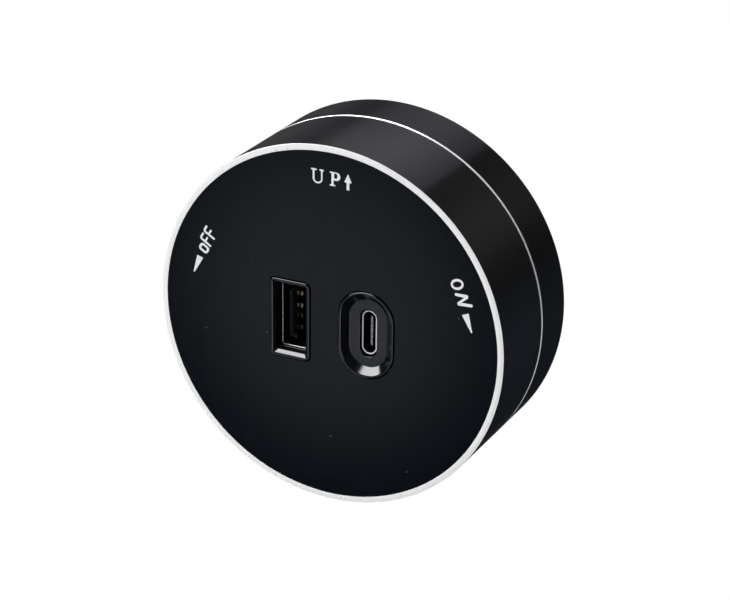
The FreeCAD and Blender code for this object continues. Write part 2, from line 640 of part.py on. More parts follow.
def stop_slot(body):
    """Arc slot over the top of the floor that the stop pin runs in, with a round end at each limit."""
    half = "(stop_pin_radius + stop_play)"
    sketch = sketch_on(body, "stop_slot", "YZ_Plane")
    polygon((FLOOR_FRONT, f"stop_circle - {half}"), (FLOOR_BACK, f"stop_circle - {half}"),
            (FLOOR_BACK, f"stop_circle + {half}"), (FLOOR_FRONT, f"stop_circle + {half}"))(sketch)
    groove = feature(body, "Groove", "stop_slot", sketch)
    groove.ReferenceAxis = (sketch, ["H_Axis"])
    groove.Midplane = True
    bind(groove, "Angle", "twist_travel")
    ends = [(f"stop_circle * cos((90 {side} twist_travel / 2) * 1deg)",
             f"stop_circle * sin((90 {side} twist_travel / 2) * 1deg)") for side in ("-", "+")]
    holes(body, "stop_slot_ends", FLOOR_FRONT, FLOOR_BACK, ends, half)


def retaining_ring():
    body = piece("retaining_ring")
    inner = f"{GROOVE_RADIUS} + fit_gap"
    pad(body, "ring", RING_FRONT, f"{RING_BACK} - fit_gap", circle("0", "0", f"{SPINDLE_RADIUS} + ring_reach"),
        circle("0", "0", inner))
    pocket(body, "opening", RING_FRONT, RING_BACK, box("0", f"0 - {SPINDLE_RADIUS}", "ring_split", "4 * ring_reach"))


# Contact head that turns in the track
def contact_head():
    body = piece("contact_head")
    pad(body, "neck", NECK_ROOT, "head_start", circle("0", "0", "neck_radius"))
    pad(body, "bar", "head_start", HEAD_BACK, key_outline("head_radius", "head_width"))
    width = "blade_width + 2 * blade_gap"
    inner = "blade_place - blade_thickness / 2 - blade_gap"
    for side in (1, -1):
        hand = "right" if side > 0 else "left"
        pocket(body, "channel_" + hand, CHANNEL_FLOOR, HEAD_BACK,
               polygon((f"{side} * ({inner})", f"0 - ({width}) / 2"), (f"{side} * head_radius", f"0 - ({width}) / 2"),
                       (f"{side} * head_radius", f"({width}) / 2"), (f"{side} * ({inner})", f"({width}) / 2")))
        notch = "head_radius - blade_thickness + pad_proud - blade_gap"
        pocket(body, "end_notch_" + hand, f"{HEAD_BACK} - pad_length - blade_gap", HEAD_BACK,
               polygon((f"{side} * ({notch})", f"0 - ({width}) / 2"), (f"{side} * head_radius", f"0 - ({width}) / 2"),
                       (f"{side} * head_radius", f"({width}) / 2"), (f"{side} * ({notch})", f"({width}) / 2")))
    pocket(body, "blade_slots", NECK_ROOT, CHANNEL_FLOOR, *BLADE_SLOTS)
    holes(body, "head_screw_pilots", NECK_ROOT, f"{NECK_ROOT} + head_screw_bite + fit_gap", HEAD_SCREW_PLACES,
          "screw_radius + fit_gap")
    holes(body, "cap_screw_pilots", "head_start + screw_radius", HEAD_BACK, CAP_SCREW_PLACES,
          "screw_radius + fit_gap")


def head_cap():
    body = piece("head_cap")
    pad(body, "plate", HEAD_BACK, f"{HEAD_BACK} + cap_thickness", key_outline("head_radius", "head_width"))
    dress_edges(body, "Chamfer", "Size", f"{HEAD_BACK} + cap_thickness", "cap_chamfer")
    back = f"{HEAD_BACK} + cap_thickness"
    holes(body, "screw_holes", HEAD_BACK, back, CAP_SCREW_PLACES, HOLE_RADIUS)
    holes(body, "screw_seats", f"{back} - screw_head_height - fit_gap", back, CAP_SCREW_PLACES,
          "screw_head_radius + fit_gap")


def pole_contact(name, side):
    """Brass strip from the main board through the spindle and out to a pad on the head's end."""
    near = f"{side} * (blade_place - blade_thickness / 2)"
    far = f"{side} * (blade_place + blade_thickness / 2)"
    foot = f"({HEAD_BACK} - blade_thickness)"
    tip = f"{side} * (head_radius + pad_proud)"
    bend = f"{side} * (head_radius + pad_proud - blade_thickness)"
    outline = polygon((near, f"{BOARD_FRONT} - blade_tail"), (near, HEAD_BACK), (tip, HEAD_BACK),
                      (tip, f"{HEAD_BACK} - pad_length"), (bend, f"{HEAD_BACK} - pad_length"), (bend, foot),
                      (far, foot), (far, f"{BOARD_FRONT} - blade_tail"))
    side_pad(piece(name), "strip", "XY_Plane", None, "blade_width", outline)


# Ports
def bezel(name, outline, flange_outline):
    body = piece(name)
    pad(body, "barrel", BEZEL_FRONT, BEZEL_BACK, outline)
    pad(body, "flange", PANEL_BACK, f"{PANEL_BACK} + bezel_flange_thickness", flange_outline)
    return body


def usb_a_bezel():
    body = bezel("usb_a_bezel", a_bezel_outline("0"), a_bezel_outline("bezel_flange_rim"))
    well = "a_bezel_rim + a_bevel"
    funnel(body, "bevel", BEZEL_FRONT, f"{FACE} + a_bevel_depth", a_well_outline("a_bezel_rim"), a_well_outline(well))
    pocket(body, "well", f"{FACE} + a_bevel_depth", f"{FACE} + a_ledge_depth", a_well_outline(well))
    pocket(body, "shell_opening", f"{FACE} + a_ledge_depth", BEZEL_BACK, a_shell_outline("port_shell_gap"))
    dress_edges(body, "Chamfer", "Size", BEZEL_FRONT, "bezel_edge")


def usb_c_bezel():
    body = bezel("usb_c_bezel", c_bezel_outline("0"), c_bezel_outline("bezel_flange_rim"))
    funnel(body, "slope", BEZEL_FRONT, f"{FACE} + c_floor_depth", c_bezel_outline("0 - c_bezel_rim"),
           c_bezel_outline("0 - c_bezel_rim - c_slope"))
    pocket(body, "shell_opening", f"{FACE} + c_floor_depth", BEZEL_BACK, c_shell_outline("c_shell_gap"))
    dress_edges(body, "Chamfer", "Size", BEZEL_FRONT, "bezel_edge")


def usb_a_shell():
    body = piece("usb_a_shell")
    pad(body, "tube", A_FRONT, PORT_BOARD_FRONT, a_shell_outline("0"))
    pocket(body, "cavity", A_FRONT, PORT_BOARD_FRONT, a_shell_outline("0 - port_shell_wall"))
    middle = f"{A_FRONT} + a_window_start + a_window_length / 2"
    side_pad(body, "spring_windows", "YZ_Plane", A_X, "2 * a_shell_width",
             *[box(middle, f"{side} * a_window_place", "a_window_length", "a_window_width") for side in (1, -1)],
             kind="Pocket")


def usb_a_tongue():
    body = piece("usb_a_tongue")
    pad(body, "block", A_BLOCK, PORT_BOARD_FRONT, a_shell_outline("0 - port_shell_wall - fit_gap"))
    pad(body, "tongue", f"{FACE} + a_tongue_recess", A_BLOCK,
        box(A_TONGUE_X, "0", "a_tongue_thickness", "a_tongue_width"))
    pocket(body, "grooves", f"{FACE} + a_contact_start", A_BLOCK,
           *[box(A_STRIP_X, place, A_STRIP, "a_contact_width") for place in A_CONTACT_PLACES])


def usb_a_contacts():
    pad(piece("usb_a_contacts"), "strips", f"{FACE} + a_contact_start", A_BLOCK,
        *[box(A_STRIP_X, place, A_STRIP, "a_contact_width") for place in A_CONTACT_PLACES])


def usb_c_shell():
    body = piece("usb_c_shell")
    front = f"{FACE} + c_shell_recess"
    pad(body, "tube", front, PORT_BOARD_FRONT, c_shell_outline("0"))
    pocket(body, "cavity", front, PORT_BOARD_FRONT, c_shell_outline("0 - port_shell_wall"))


def usb_c_tongue():
    body = piece("usb_c_tongue")
    pad(body, "block", C_BLOCK, PORT_BOARD_FRONT, c_shell_outline("0 - port_shell_wall - fit_gap"))
    pad(body, "tongue", f"{FACE} + c_tongue_recess", C_BLOCK, box(C_X, "0", "c_tongue_thickness", "c_tongue_width"))


def usb_c_contacts():
    strips = []
    for side in (1, -1):
        across = f"{C_X} + {side} * (c_tongue_thickness + c_contact_proud) / 2"
        for number in range(C_CONTACTS):
            up = f"{number - (C_CONTACTS - 1) / 2} * c_contact_pitch"
            strips.append(box(across, up, "c_contact_proud", "c_contact_width"))
    pad(piece("usb_c_contacts"), "strips", f"{FACE} + c_contact_start",
        f"{FACE} + c_contact_start + c_contact_length", *strips)


# Boards and what they carry
def port_board():
    body = piece("port_board")
    pad(body, "board", PORT_BOARD_FRONT, PORT_BOARD_BACK,
        rounded_box("0", "0", "port_board_width", f"2 * {PORT_BOARD_HALF}", "port_post_radius / 2"))
    holes(body, "screw_holes", PORT_BOARD_FRONT, PORT_BOARD_BACK, PORT_SCREW_PLACES, HOLE_RADIUS)
    pocket(body, "pin_holes", PORT_BOARD_FRONT, PORT_BOARD_BACK, *pin_squares("fit_gap"))


def pin_squares(extra):
    return [box(x, z, f"pin_width + 2 * {extra}", f"pin_width + 2 * {extra}") for x, z in PIN_PLACES]


def board_pins():
    pad(piece("board_pins"), "pins", f"{PORT_BOARD_FRONT} - pin_tail", f"{BOARD_BACK} + pin_tail", *pin_squares("0"))


def pin_strip():
    body = piece("pin_strip")
    front = f"{BOARD_FRONT} - pin_strip_height"
    pad(body, "strip", front, BOARD_FRONT, box("0", PIN_Z, f"{BOARD_PINS} * pin_pitch", "pin_pitch"))
    pocket(body, "pin_holes", front, BOARD_FRONT, *pin_squares("fit_gap"))


def main_board():
    body = piece("main_board")
    pad(body, "board", BOARD_FRONT, BOARD_BACK, circle("0", "0", BOARD_RADIUS))
    holes(body, "screw_holes", BOARD_FRONT, BOARD_BACK, BOARD_SCREW_PLACES, HOLE_RADIUS)
    pocket(body, "blade_slots", BOARD_FRONT, BOARD_BACK, *BLADE_SLOTS)
    pocket(body, "pin_holes", BOARD_FRONT, BOARD_BACK, *pin_squares("fit_gap"))


def transformer_core():
    body = piece("transformer_core")
    pad(body, "core", TALL_TOP, BOARD_FRONT, box("0", CORE_Z, "core_width", "core_depth"))
    side = "(core_width / 2 - core_yoke)"
    for hand in (1, -1):
        pocket(body, "window_right" if hand > 0 else "window_left", f"{TALL_TOP} + core_yoke",
               f"{BOARD_FRONT} - core_yoke",
               box(f"{hand} * ({side} + core_leg / 2) / 2", CORE_Z, f"{side} - core_leg / 2", "2 * core_depth"))


def transformer_winding():
    body = piece("transformer_winding")
    start = f"{TALL_TOP} + core_yoke + fit_gap"
    end = f"{BOARD_FRONT} - core_yoke - fit_gap"
    pad(body, "winding", start, end,
        rounded_box("0", CORE_Z, "core_width - 2 * core_yoke - 2 * fit_gap",
                    "core_depth + 2 * winding_margin", "winding_margin"),
        box("0", CORE_Z, "core_leg + 2 * fit_gap", "core_depth + 2 * fit_gap"))


def bulk_capacitors():
    pad(piece("bulk_capacitors"), "cans", TALL_TOP, BOARD_FRONT,
        *[circle(f"{side} * bulk_x", BULK_Z, "bulk_radius") for side in (1, -1)])


def output_capacitors():
    pad(piece("output_capacitors"), "cans", LOW_TOP, BOARD_FRONT,
        *[circle("output_x", f"{level} * output_spacing / 2", "output_radius") for level in (1, -1)])


def input_choke():
    body = piece("input_choke")
    place = (CHOKE_X, "0 - choke_z")
    pad(body, "lower_flange", f"{BOARD_FRONT} - choke_flange", BOARD_FRONT, circle(*place, "choke_radius"))
    pad(body, "core", f"{LOW_TOP} + choke_flange", f"{BOARD_FRONT} - choke_flange",
        circle(*place, "choke_core_radius"))
    pad(body, "upper_flange", LOW_TOP, f"{LOW_TOP} + choke_flange", circle(*place, "choke_radius"))


def bridge_rectifier():
    pad(piece("bridge_rectifier"), "case", f"{BOARD_FRONT} - bridge_height", BOARD_FRONT,
        box(BRIDGE_X, "bridge_z", "bridge_width", "bridge_width"))


def fuse():
    side_pad(piece("fuse"), "barrel", "YZ_Plane", FUSE_X, "fuse_length",
             circle(f"{BOARD_FRONT} - fuse_radius", "0 - fuse_z", "fuse_radius"))


def control_chips():
    pad(piece("control_chips"), "cases", f"{BOARD_FRONT} - chip_height", BOARD_FRONT,
        *[box(f"{number} * chip_spacing", "0 - chip_z", "chip_width", "chip_width") for number in (0, 1)])


BUILDERS = (
    front_sleeve, rear_sleeve, face_panel, front_shell, base_cup, stop_pin, friction_washer, rear_cover,
    retaining_ring, contact_head, head_cap, usb_a_bezel, usb_c_bezel, usb_a_shell, usb_a_tongue, usb_a_contacts,
    usb_c_shell, usb_c_tongue, usb_c_contacts, port_board, board_pins, pin_strip, main_board, transformer_core,
    transformer_winding, bulk_capacitors, output_capacitors, input_choke, bridge_rectifier, fuse, control_chips,
)
for build in BUILDERS:
    build()
pole_contact("live_contact", 1)
pole_contact("neutral_contact", -1)
screws("cover_screws", COVER_SCREW_PLACES, SHELL_END, "flange_thickness + screw_bite", 1)
screws("port_board_screws", PORT_SCREW_PLACES, PORT_BOARD_BACK, "port_board_thickness + screw_bite", 1)
screws("board_screws", BOARD_SCREW_PLACES, BOARD_FRONT, f"{FLOOR_BACK} - {BOARD_FRONT} - 3 * fit_gap", -1)
screws("head_screws", HEAD_SCREW_PLACES, f"{FLOOR_FRONT} + screw_head_height",
       f"{NECK_ROOT} + head_screw_bite - {FLOOR_FRONT} - screw_head_height", -1)
screws("cap_screws", CAP_SCREW_PLACES, f"{HEAD_BACK} + cap_thickness - screw_head_height",
       "cap_thickness - screw_head_height + head_depth - 2 * screw_radius", 1)
doc.recompute()

# Nothing is written unless every feature and every piece is sound
for item in doc.Objects:
    if "Invalid" in item.State or "Error" in item.State:
        raise RuntimeError("%s failed: %s" % (item.Name, item.State))
    if item.isDerivedFrom("Sketcher::SketchObject") and not item.FullyConstrained:
        raise RuntimeError("%s is not fully constrained" % item.Name)
    if item.TypeId in ("PartDesign::Pocket", "PartDesign::Groove", "PartDesign::SubtractiveLoft"):
        if item.Shape.Volume >= item.BaseFeature.Shape.Volume - 1e-6:
            raise RuntimeError("%s cuts nothing" % item.Name)
for body in pieces:
    if body.Shape.isNull() or not body.Shape.isValid() or not body.Shape.Solids:
        raise RuntimeError("%s has no sound solid" % body.Label)

os.makedirs("parts", exist_ok=True)
for body in pieces:
    body.Shape.exportStep(os.path.join("parts", body.Label + ".step"))
print("%d pieces, %d solids" % (len(pieces), sum(len(body.Shape.Solids) for body in pieces)))
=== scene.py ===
"""Looks of a round socket module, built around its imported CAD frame.

The scene is in metres, with X to the right, Z up, the face towards -Y and the turning axis along Y. The
sub-assemblies state their sizes in millimetres.
"""
import logging
import math
from dataclasses import dataclass, field
from enum import Enum

import bmesh
import bpy
from mathutils import Matrix, Vector


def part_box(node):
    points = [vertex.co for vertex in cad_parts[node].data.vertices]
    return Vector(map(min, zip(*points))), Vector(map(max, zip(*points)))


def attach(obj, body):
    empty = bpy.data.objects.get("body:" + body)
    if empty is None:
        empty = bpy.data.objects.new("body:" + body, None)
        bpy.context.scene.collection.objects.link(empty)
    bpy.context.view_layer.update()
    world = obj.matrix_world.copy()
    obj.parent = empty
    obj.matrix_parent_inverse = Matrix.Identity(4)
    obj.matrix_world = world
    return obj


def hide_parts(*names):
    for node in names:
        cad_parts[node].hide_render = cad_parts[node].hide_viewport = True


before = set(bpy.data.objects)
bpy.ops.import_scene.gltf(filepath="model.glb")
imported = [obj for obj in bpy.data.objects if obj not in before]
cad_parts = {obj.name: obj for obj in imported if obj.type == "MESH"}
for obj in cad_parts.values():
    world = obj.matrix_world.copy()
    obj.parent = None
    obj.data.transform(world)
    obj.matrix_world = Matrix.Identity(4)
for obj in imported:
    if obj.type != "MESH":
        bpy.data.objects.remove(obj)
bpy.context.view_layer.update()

MM = 0.001  # one millimetre in metres; the other lengths are in millimetres
NEAR = 0.01  # how far a level may be off and still count
DOUBLE = 1e-4  # corners closer than this are one
OVERSHOOT = 1.0  # how far a cutting tool reaches past what it cuts
ANYWHERE = 100.0  # past every piece along the axis

LOG = logging.getLogger("socket_module")
Colour = tuple[float, float, float]
Triple = tuple[float, float, float]
Point = tuple[float, float]
Outline = list[tuple[Point, float]]
Edges = list[bmesh.types.BMEdge]
Tree = bpy.types.NodeTree
Socket = bpy.types.NodeSocket


class Section(Enum):
    """The two bodies of the module."""

    FRONT = "front"
    BASE = "base"


class Slot(Enum):
    """Material slots of the record, named with the modelled pieces."""

    SLEEVE = "sleeve_black"
    PANEL = "panel_gloss"
    BEZEL = "bezel_black"
    MOULDING = "moulding_black"
    SHELL = "port_steel"
    TONGUE = "tongue_plastic"
    GOLD = "contact_gold"
    BRASS = "contact_brass"
    SCREW = "fastener_steel"
    SPRING = "spring_steel"


class Pattern(Enum):
    """What a finish shows besides its fine grain."""

    PLAIN = "plain"
    TURNED = "turned"
    TRACKS = "tracks"
    WOUND = "wound"


# Shader nodes


def wired(tree: Tree, kind: str, inputs: dict[str | int, object], **settings: object) -> bpy.types.Node:
    """Add a shader node with its settings, and feed its inputs.

    Args:
        tree: the nodes that it joins.
        kind: its type, without the leading ShaderNode.
        inputs: a socket or a value for each input.
        settings: its own properties, such as its operation.

    Returns:
        The node.
    """
    node = tree.nodes.new(f"ShaderNode{kind}")
    for name, value in settings.items():
        setattr(node, name, value)
    for label, value in inputs.items():
        if isinstance(value, Socket):
            tree.links.new(value, node.inputs[label])
        else:
            node.inputs[label].default_value = value
    return node


def maths(tree: Tree, operation: str, *values: Socket | float) -> Socket:
    """Result of an operation on numbers."""
    return wired(tree, "Math", dict(enumerate(values)), operation=operation).outputs[0]


def vectors(tree: Tree, operation: str, one: Socket, other: Socket) -> Socket:
    """Result of an operation on two vectors."""
    return wired(tree, "VectorMath", {0: one, 1: other}, operation=operation).outputs[0]


def scaled(tree: Tree, vector: Socket | Triple, factor: Socket) -> Socket:
    """A vector or colour made larger by a factor."""
    return wired(tree, "VectorMath", {0: vector, "Scale": factor}, operation="SCALE").outputs[0]


def mixed(tree: Tree, mask: Socket, colour: Socket, other: Colour) -> Socket:
    """Colour that turns to another where a mask is one."""
    inputs = {"Factor": mask, "A": colour, "B": (*other, 1.0)}
    return wired(tree, "Mix", inputs, data_type="RGBA").outputs["Result"]


def faded(tree: Tree, value: Socket, span: Point, results: Point) -> Socket:
    """Number that goes softly from one result to another while a value crosses a span."""
    inputs = {"Value": value, "From Min": span[0], "From Max": span[1], "To Min": results[0], "To Max": results[1]}
    return wired(tree, "MapRange", inputs, interpolation_type="SMOOTHSTEP").outputs["Result"]


def started_group(name: str, inputs: dict[str, float | None], outputs: tuple[str, ...]) -> tuple:
    """Start a node group with its sockets.

    Args:
        name: name of the group.
        inputs: default of each number, or None for a vector.
        outputs: names of the numbers that it puts out.

    Returns:
        The group, the sockets that bring its inputs, and the sockets that take its outputs.
    """
    group = bpy.data.node_groups.new(name, "ShaderNodeTree")
    for label, default in inputs.items():
        kind = "NodeSocketVector" if default is None else "NodeSocketFloat"
        socket = group.interface.new_socket(name=label, in_out="INPUT", socket_type=kind)
        if default is not None:
            socket.default_value = default
    for label in outputs:
        group.interface.new_socket(name=label, in_out="OUTPUT", socket_type="NodeSocketFloat")
    return group, group.nodes.new("NodeGroupInput").outputs, group.nodes.new("NodeGroupOutput").inputs


class Effects:
    """Node groups that the finishes share, each built once."""

    def __init__(self) -> None:
        """Build every group."""
        self.grain = self._grain()
        self.dust = self._dust()
        self.turned = self._turned()

    @staticmethod
    def _grain() -> Tree:
        """Fine and coarse noise for tone, roughness and height.

        Returns:
            The node group.
        """
        group, given, out = started_group(
            "surface grain", {"Vector": None, "Size": 1000.0, "Blotch": 60.0, "Low": 0.3, "High": 0.4},
            ("Tone", "Roughness", "Height"))
        fine, coarse = (
            wired(group, "TexNoise", {"Vector": given["Vector"], "Scale": given[size], "Detail": detail}).outputs["Fac"]
            for size, detail in (("Size", 3.0), ("Blotch", 4.0)))
        tone = maths(group, "MULTIPLY_ADD", fine, 0.5, maths(group, "MULTIPLY", coarse, 0.5))
        spread = wired(group, "MapRange", {"Value": tone, "From Min": 0.35, "From Max": 0.65, "To Min": given["Low"],
                                           "To Max": given["High"]})
        for label, socket in (("Tone", tone), ("Roughness", spread.outputs["Result"]), ("Height", fine)):
            group.links.new(socket, out[label])
        return group

    @staticmethod
    def _dust(share: float = 0.25) -> Tree:
        """Small specks, in a share of the cells.

        Args:
            share: how many of the cells have one, from 0 to 1.

        Returns:
            The node group.
        """
        group, given, out = started_group("dust specks", {"Vector": None, "Spacing": 300.0, "Size": 0.06}, ("Mask",))
        cells = wired(group, "TexVoronoi", {"Vector": given["Vector"], "Scale": given["Spacing"]})
        near = maths(group, "LESS_THAN", cells.outputs["Distance"], given["Size"])
        chance = wired(group, "SeparateColor", {"Color": cells.outputs["Color"]})
        rare = maths(group, "LESS_THAN", chance.outputs["Red"], share)
        group.links.new(maths(group, "MULTIPLY", near, rare), out["Mask"])
        return group

    @staticmethod
    def _turned() -> Tree:
        """Fine rings that a lathe leaves about the turning axis.

        Returns:
            The node group.
        """
        group, given, out = started_group("lathe rings", {"Vector": None, "Pitch": 9000.0}, ("Height",))
        parts = wired(group, "SeparateXYZ", {0: given["Vector"]}).outputs
        across = wired(group, "CombineXYZ", {"X": parts["X"], "Z": parts["Z"]}).outputs[0]
        radius = wired(group, "VectorMath", {0: across}, operation="LENGTH").outputs["Value"]
        turns = maths(group, "MULTIPLY", maths(group, "ADD", radius, parts["Y"]), given["Pitch"])
        noise = wired(group, "TexNoise", {"W": turns, "Scale": 1.0}, noise_dimensions="1D")
        group.links.new(noise.outputs["Fac"], out["Height"])
        return group


# Finishes


@dataclass(frozen=True)
class Finish:
    """One finish: uniform numbers, and how far its grain moves them."""

    name: str
    colour: Colour
    roughness: float
    metallic: float = 0.0
    specular: float = 0.5
    ior: float = 1.5
    coat: float = 0.0
    coat_roughness: float = 0.1
    tone_change: float = 0.15
    roughness_change: float = 0.04
    least_roughness: float = 0.02
    grain: float = 1200.0
    blotch: float = 60.0
    bump_mm: float = 0.004
    bump: float = 0.3
    dust: float = 0.0
    pattern: Pattern = Pattern.PLAIN
    drift: Point = (0.3, 0.7)
    second: Colour = (0.5, 0.5, 0.5)
    pitch: float = 9000.0

    def build(self, effects: Effects) -> bpy.types.Material:
        """Make the material.

        Args:
            effects: the shared node groups.

        Returns:
            The material, ready to assign.
        """
        material = bpy.data.materials.new(self.name)
        material.use_nodes = True
        tree = material.node_tree
        shader = tree.nodes["Principled BSDF"]
        for label, value in (("Metallic", self.metallic), ("Specular IOR Level", self.specular), ("IOR", self.ior),
                             ("Coat Weight", self.coat), ("Coat Roughness", self.coat_roughness)):
            shader.inputs[label].default_value = value
        place = tree.nodes.new("ShaderNodeTexCoord").outputs["Object"]
        low = max(self.least_roughness, self.roughness - self.roughness_change)
        grain = wired(tree, "Group", {"Vector": place, "Size": self.grain, "Blotch": self.blotch, "Low": low,
                                      "High": self.roughness + self.roughness_change},
                      node_tree=effects.grain).outputs
        colour = self._tone(tree, grain["Tone"])
        if self.pattern in (Pattern.TRACKS, Pattern.WOUND):
            colour = self._patterned(tree, place, colour)
        if self.dust:
            specks = wired(tree, "Group", {"Vector": place}, node_tree=effects.dust)
            colour = mixed(tree, specks.outputs["Mask"], colour, (self.dust,) * 3)
        height = grain["Height"]
        if self.pattern is Pattern.TURNED:
            rings = wired(tree, "Group", {"Vector": place, "Pitch": self.pitch}, node_tree=effects.turned)
            height = rings.outputs["Height"]
        bump = wired(tree, "Bump", {"Strength": self.bump, "Distance": self.bump_mm * MM, "Height": height})
        for label, socket in (("Base Color", colour), ("Roughness", grain["Roughness"]),
                              ("Normal", bump.outputs["Normal"])):
            tree.links.new(socket, shader.inputs[label])
        return material

    def _tone(self, tree: Tree, mask: Socket) -> Socket:
        """Colour that drifts a little lighter and darker with a mask.

        Args:
            tree: the material's nodes.
            mask: where it is lighter.

        Returns:
            The colour socket.
        """
        ramp = wired(tree, "ValToRGB", {"Fac": mask})
        for element, position, change in zip(ramp.color_ramp.elements, self.drift,
                                             (-self.tone_change, self.tone_change)):
            element.position = position
            element.color = (*(min(1.0, part * (1 + change)) for part in self.colour), 1.0)
        return ramp.outputs["Color"]

    def _patterned(self, tree: Tree, place: Socket, colour: Socket) -> Socket:
        """Copper tracks under lacquer, or the turns of a winding under tape.

        Args:
            tree: the material's nodes.
            place: the coordinates.
            colour: the colour so far.

        Returns:
            The colour socket.
        """
        if self.pattern is Pattern.TRACKS:
            turned = wired(tree, "Mapping", {"Vector": place, "Rotation": (math.radians(90), 0, 0)}).outputs["Vector"]
            black, white = (0, 0, 0, 1), (1, 1, 1, 1)
            mask = wired(tree, "TexBrick", {"Vector": turned, "Scale": self.pitch, "Mortar Size": 0.03, "Color1": black,
                                            "Color2": black, "Mortar": white}).outputs["Color"]
        else:
            mask = wired(tree, "TexWave", {"Vector": place, "Scale": self.pitch}, bands_direction="Y").outputs["Fac"]
        return mixed(tree, mask, colour, self.second)


FINISHES = (
    Finish("anodised black", (0.0030, 0.0032, 0.0036), 0.13, roughness_change=0.02, grain=2200, bump_mm=0.004,
           bump=0.5, dust=0.05),
    # Rear copy of the sleeve finish with a lower specular level: painted shade that darkens the rear sleeve.
    Finish("anodised black, rear, painted shade", (0.0030, 0.0032, 0.0036), 0.14, specular=0.26, roughness_change=0.02, grain=2200,
           bump_mm=0.004, bump=0.4, dust=0.05),
    Finish("bright cut", (0.95, 0.95, 0.955), 0.3, metallic=0.2, tone_change=0.02, pattern=Pattern.TURNED,
           pitch=22000, bump=0.12, bump_mm=0.002),
    Finish("bright cut, fine", (0.96, 0.96, 0.965), 0.2, metallic=0.2, tone_change=0.02, pattern=Pattern.TURNED,
           pitch=22000, bump=0.08, bump_mm=0.001),
    Finish("black acrylic", (0.0026, 0.0038, 0.0058), 0.08, tone_change=0.08, roughness_change=0.02, grain=500,
           bump=0.02, dust=0.05),
    Finish("gloss black plastic", (0.0024, 0.0030, 0.0064), 0.12, specular=1.0, ior=1.62, roughness_change=0.03,
           grain=900, bump=0.03, dust=0.05),
    # Near-black, barely reflective finish for the deep faces of the USB-A well: painted shade.
    Finish("painted shade black", (0.0015, 0.0015, 0.0017), 0.5, specular=0.08, grain=1500, bump=0.2),
    Finish("matt black moulding", (0.020, 0.020, 0.022), 0.5, roughness_change=0.08, grain=1500, bump=0.5,
           bump_mm=0.02),
    Finish("port steel", (0.92, 0.92, 0.93), 0.25, metallic=0.75, tone_change=0.02, grain=1800, bump=0.04),
    Finish("drawn steel", (0.95, 0.95, 0.955), 0.25, metallic=0.35, tone_change=0.02, grain=1800, bump=0.04),
    Finish("tongue plate", (0.85, 0.88, 0.90), 0.3, metallic=0.8, tone_change=0.04, grain=1800, bump=0.05),
    # Dark steel for the shells' walls behind the lip: painted shade.
    Finish("shaded steel", (0.05, 0.05, 0.055), 0.4, metallic=1.0, tone_change=0.2, grain=1800, bump=0.1),
    Finish("black insulator", (0.0045, 0.0047, 0.0052), 0.22, specular=0.7, grain=1500, bump=0.2, bump_mm=0.008),
    Finish("contact gold", (0.80, 0.66, 0.48), 0.3, metallic=1.0, tone_change=0.06, grain=2200, bump=0.08),
    # Darker gold for the lower USB-A contacts: painted shade.
    Finish("contact gold, painted shade", (0.22, 0.175, 0.10), 0.4, metallic=1.0, tone_change=0.3, grain=2200, blotch=260,
           bump=0.08),
    # Dark gold for the USB-C contacts deep in the shell: painted shade.
    Finish("shaded gold", (0.12, 0.08, 0.03), 0.4, metallic=1.0, tone_change=0.1, grain=2200, bump=0.08),
    Finish("brass strip", (0.78, 0.55, 0.24), 0.28, metallic=1.0, tone_change=0.1, grain=1400, bump=0.15),
    Finish("white print", (0.72, 0.72, 0.73), 0.5, tone_change=0.03, grain=4000, bump=0.4, bump_mm=0.006),
    Finish("zinc screw", (0.62, 0.62, 0.64), 0.3, metallic=1.0, tone_change=0.08, pattern=Pattern.TURNED,
           pitch=9000, bump=0.2),
    Finish("spring steel", (0.5, 0.5, 0.52), 0.32, metallic=1.0, tone_change=0.1, grain=1600, bump=0.15),
    Finish("board lacquer", (0.012, 0.09, 0.03), 0.25, coat=0.3, pattern=Pattern.TRACKS, pitch=420,
           second=(0.05, 0.22, 0.07), bump=0.2),
    Finish("ferrite", (0.045, 0.045, 0.05), 0.6, tone_change=0.25, grain=1800, bump=0.5, bump_mm=0.02),
    Finish("winding tape", (0.72, 0.55, 0.08), 0.4, pattern=Pattern.WOUND, pitch=180, second=(0.60, 0.43, 0.05)),
    Finish("capacitor sleeve", (0.02, 0.03, 0.08), 0.3, tone_change=0.1, grain=900, bump=0.1),
    Finish("component epoxy", (0.02, 0.02, 0.022), 0.45, grain=1700, bump=0.35, bump_mm=0.01),
    Finish("fuse ceramic", (0.75, 0.73, 0.68), 0.35, tone_change=0.06, grain=1200, bump=0.2),
)


# Mesh tools


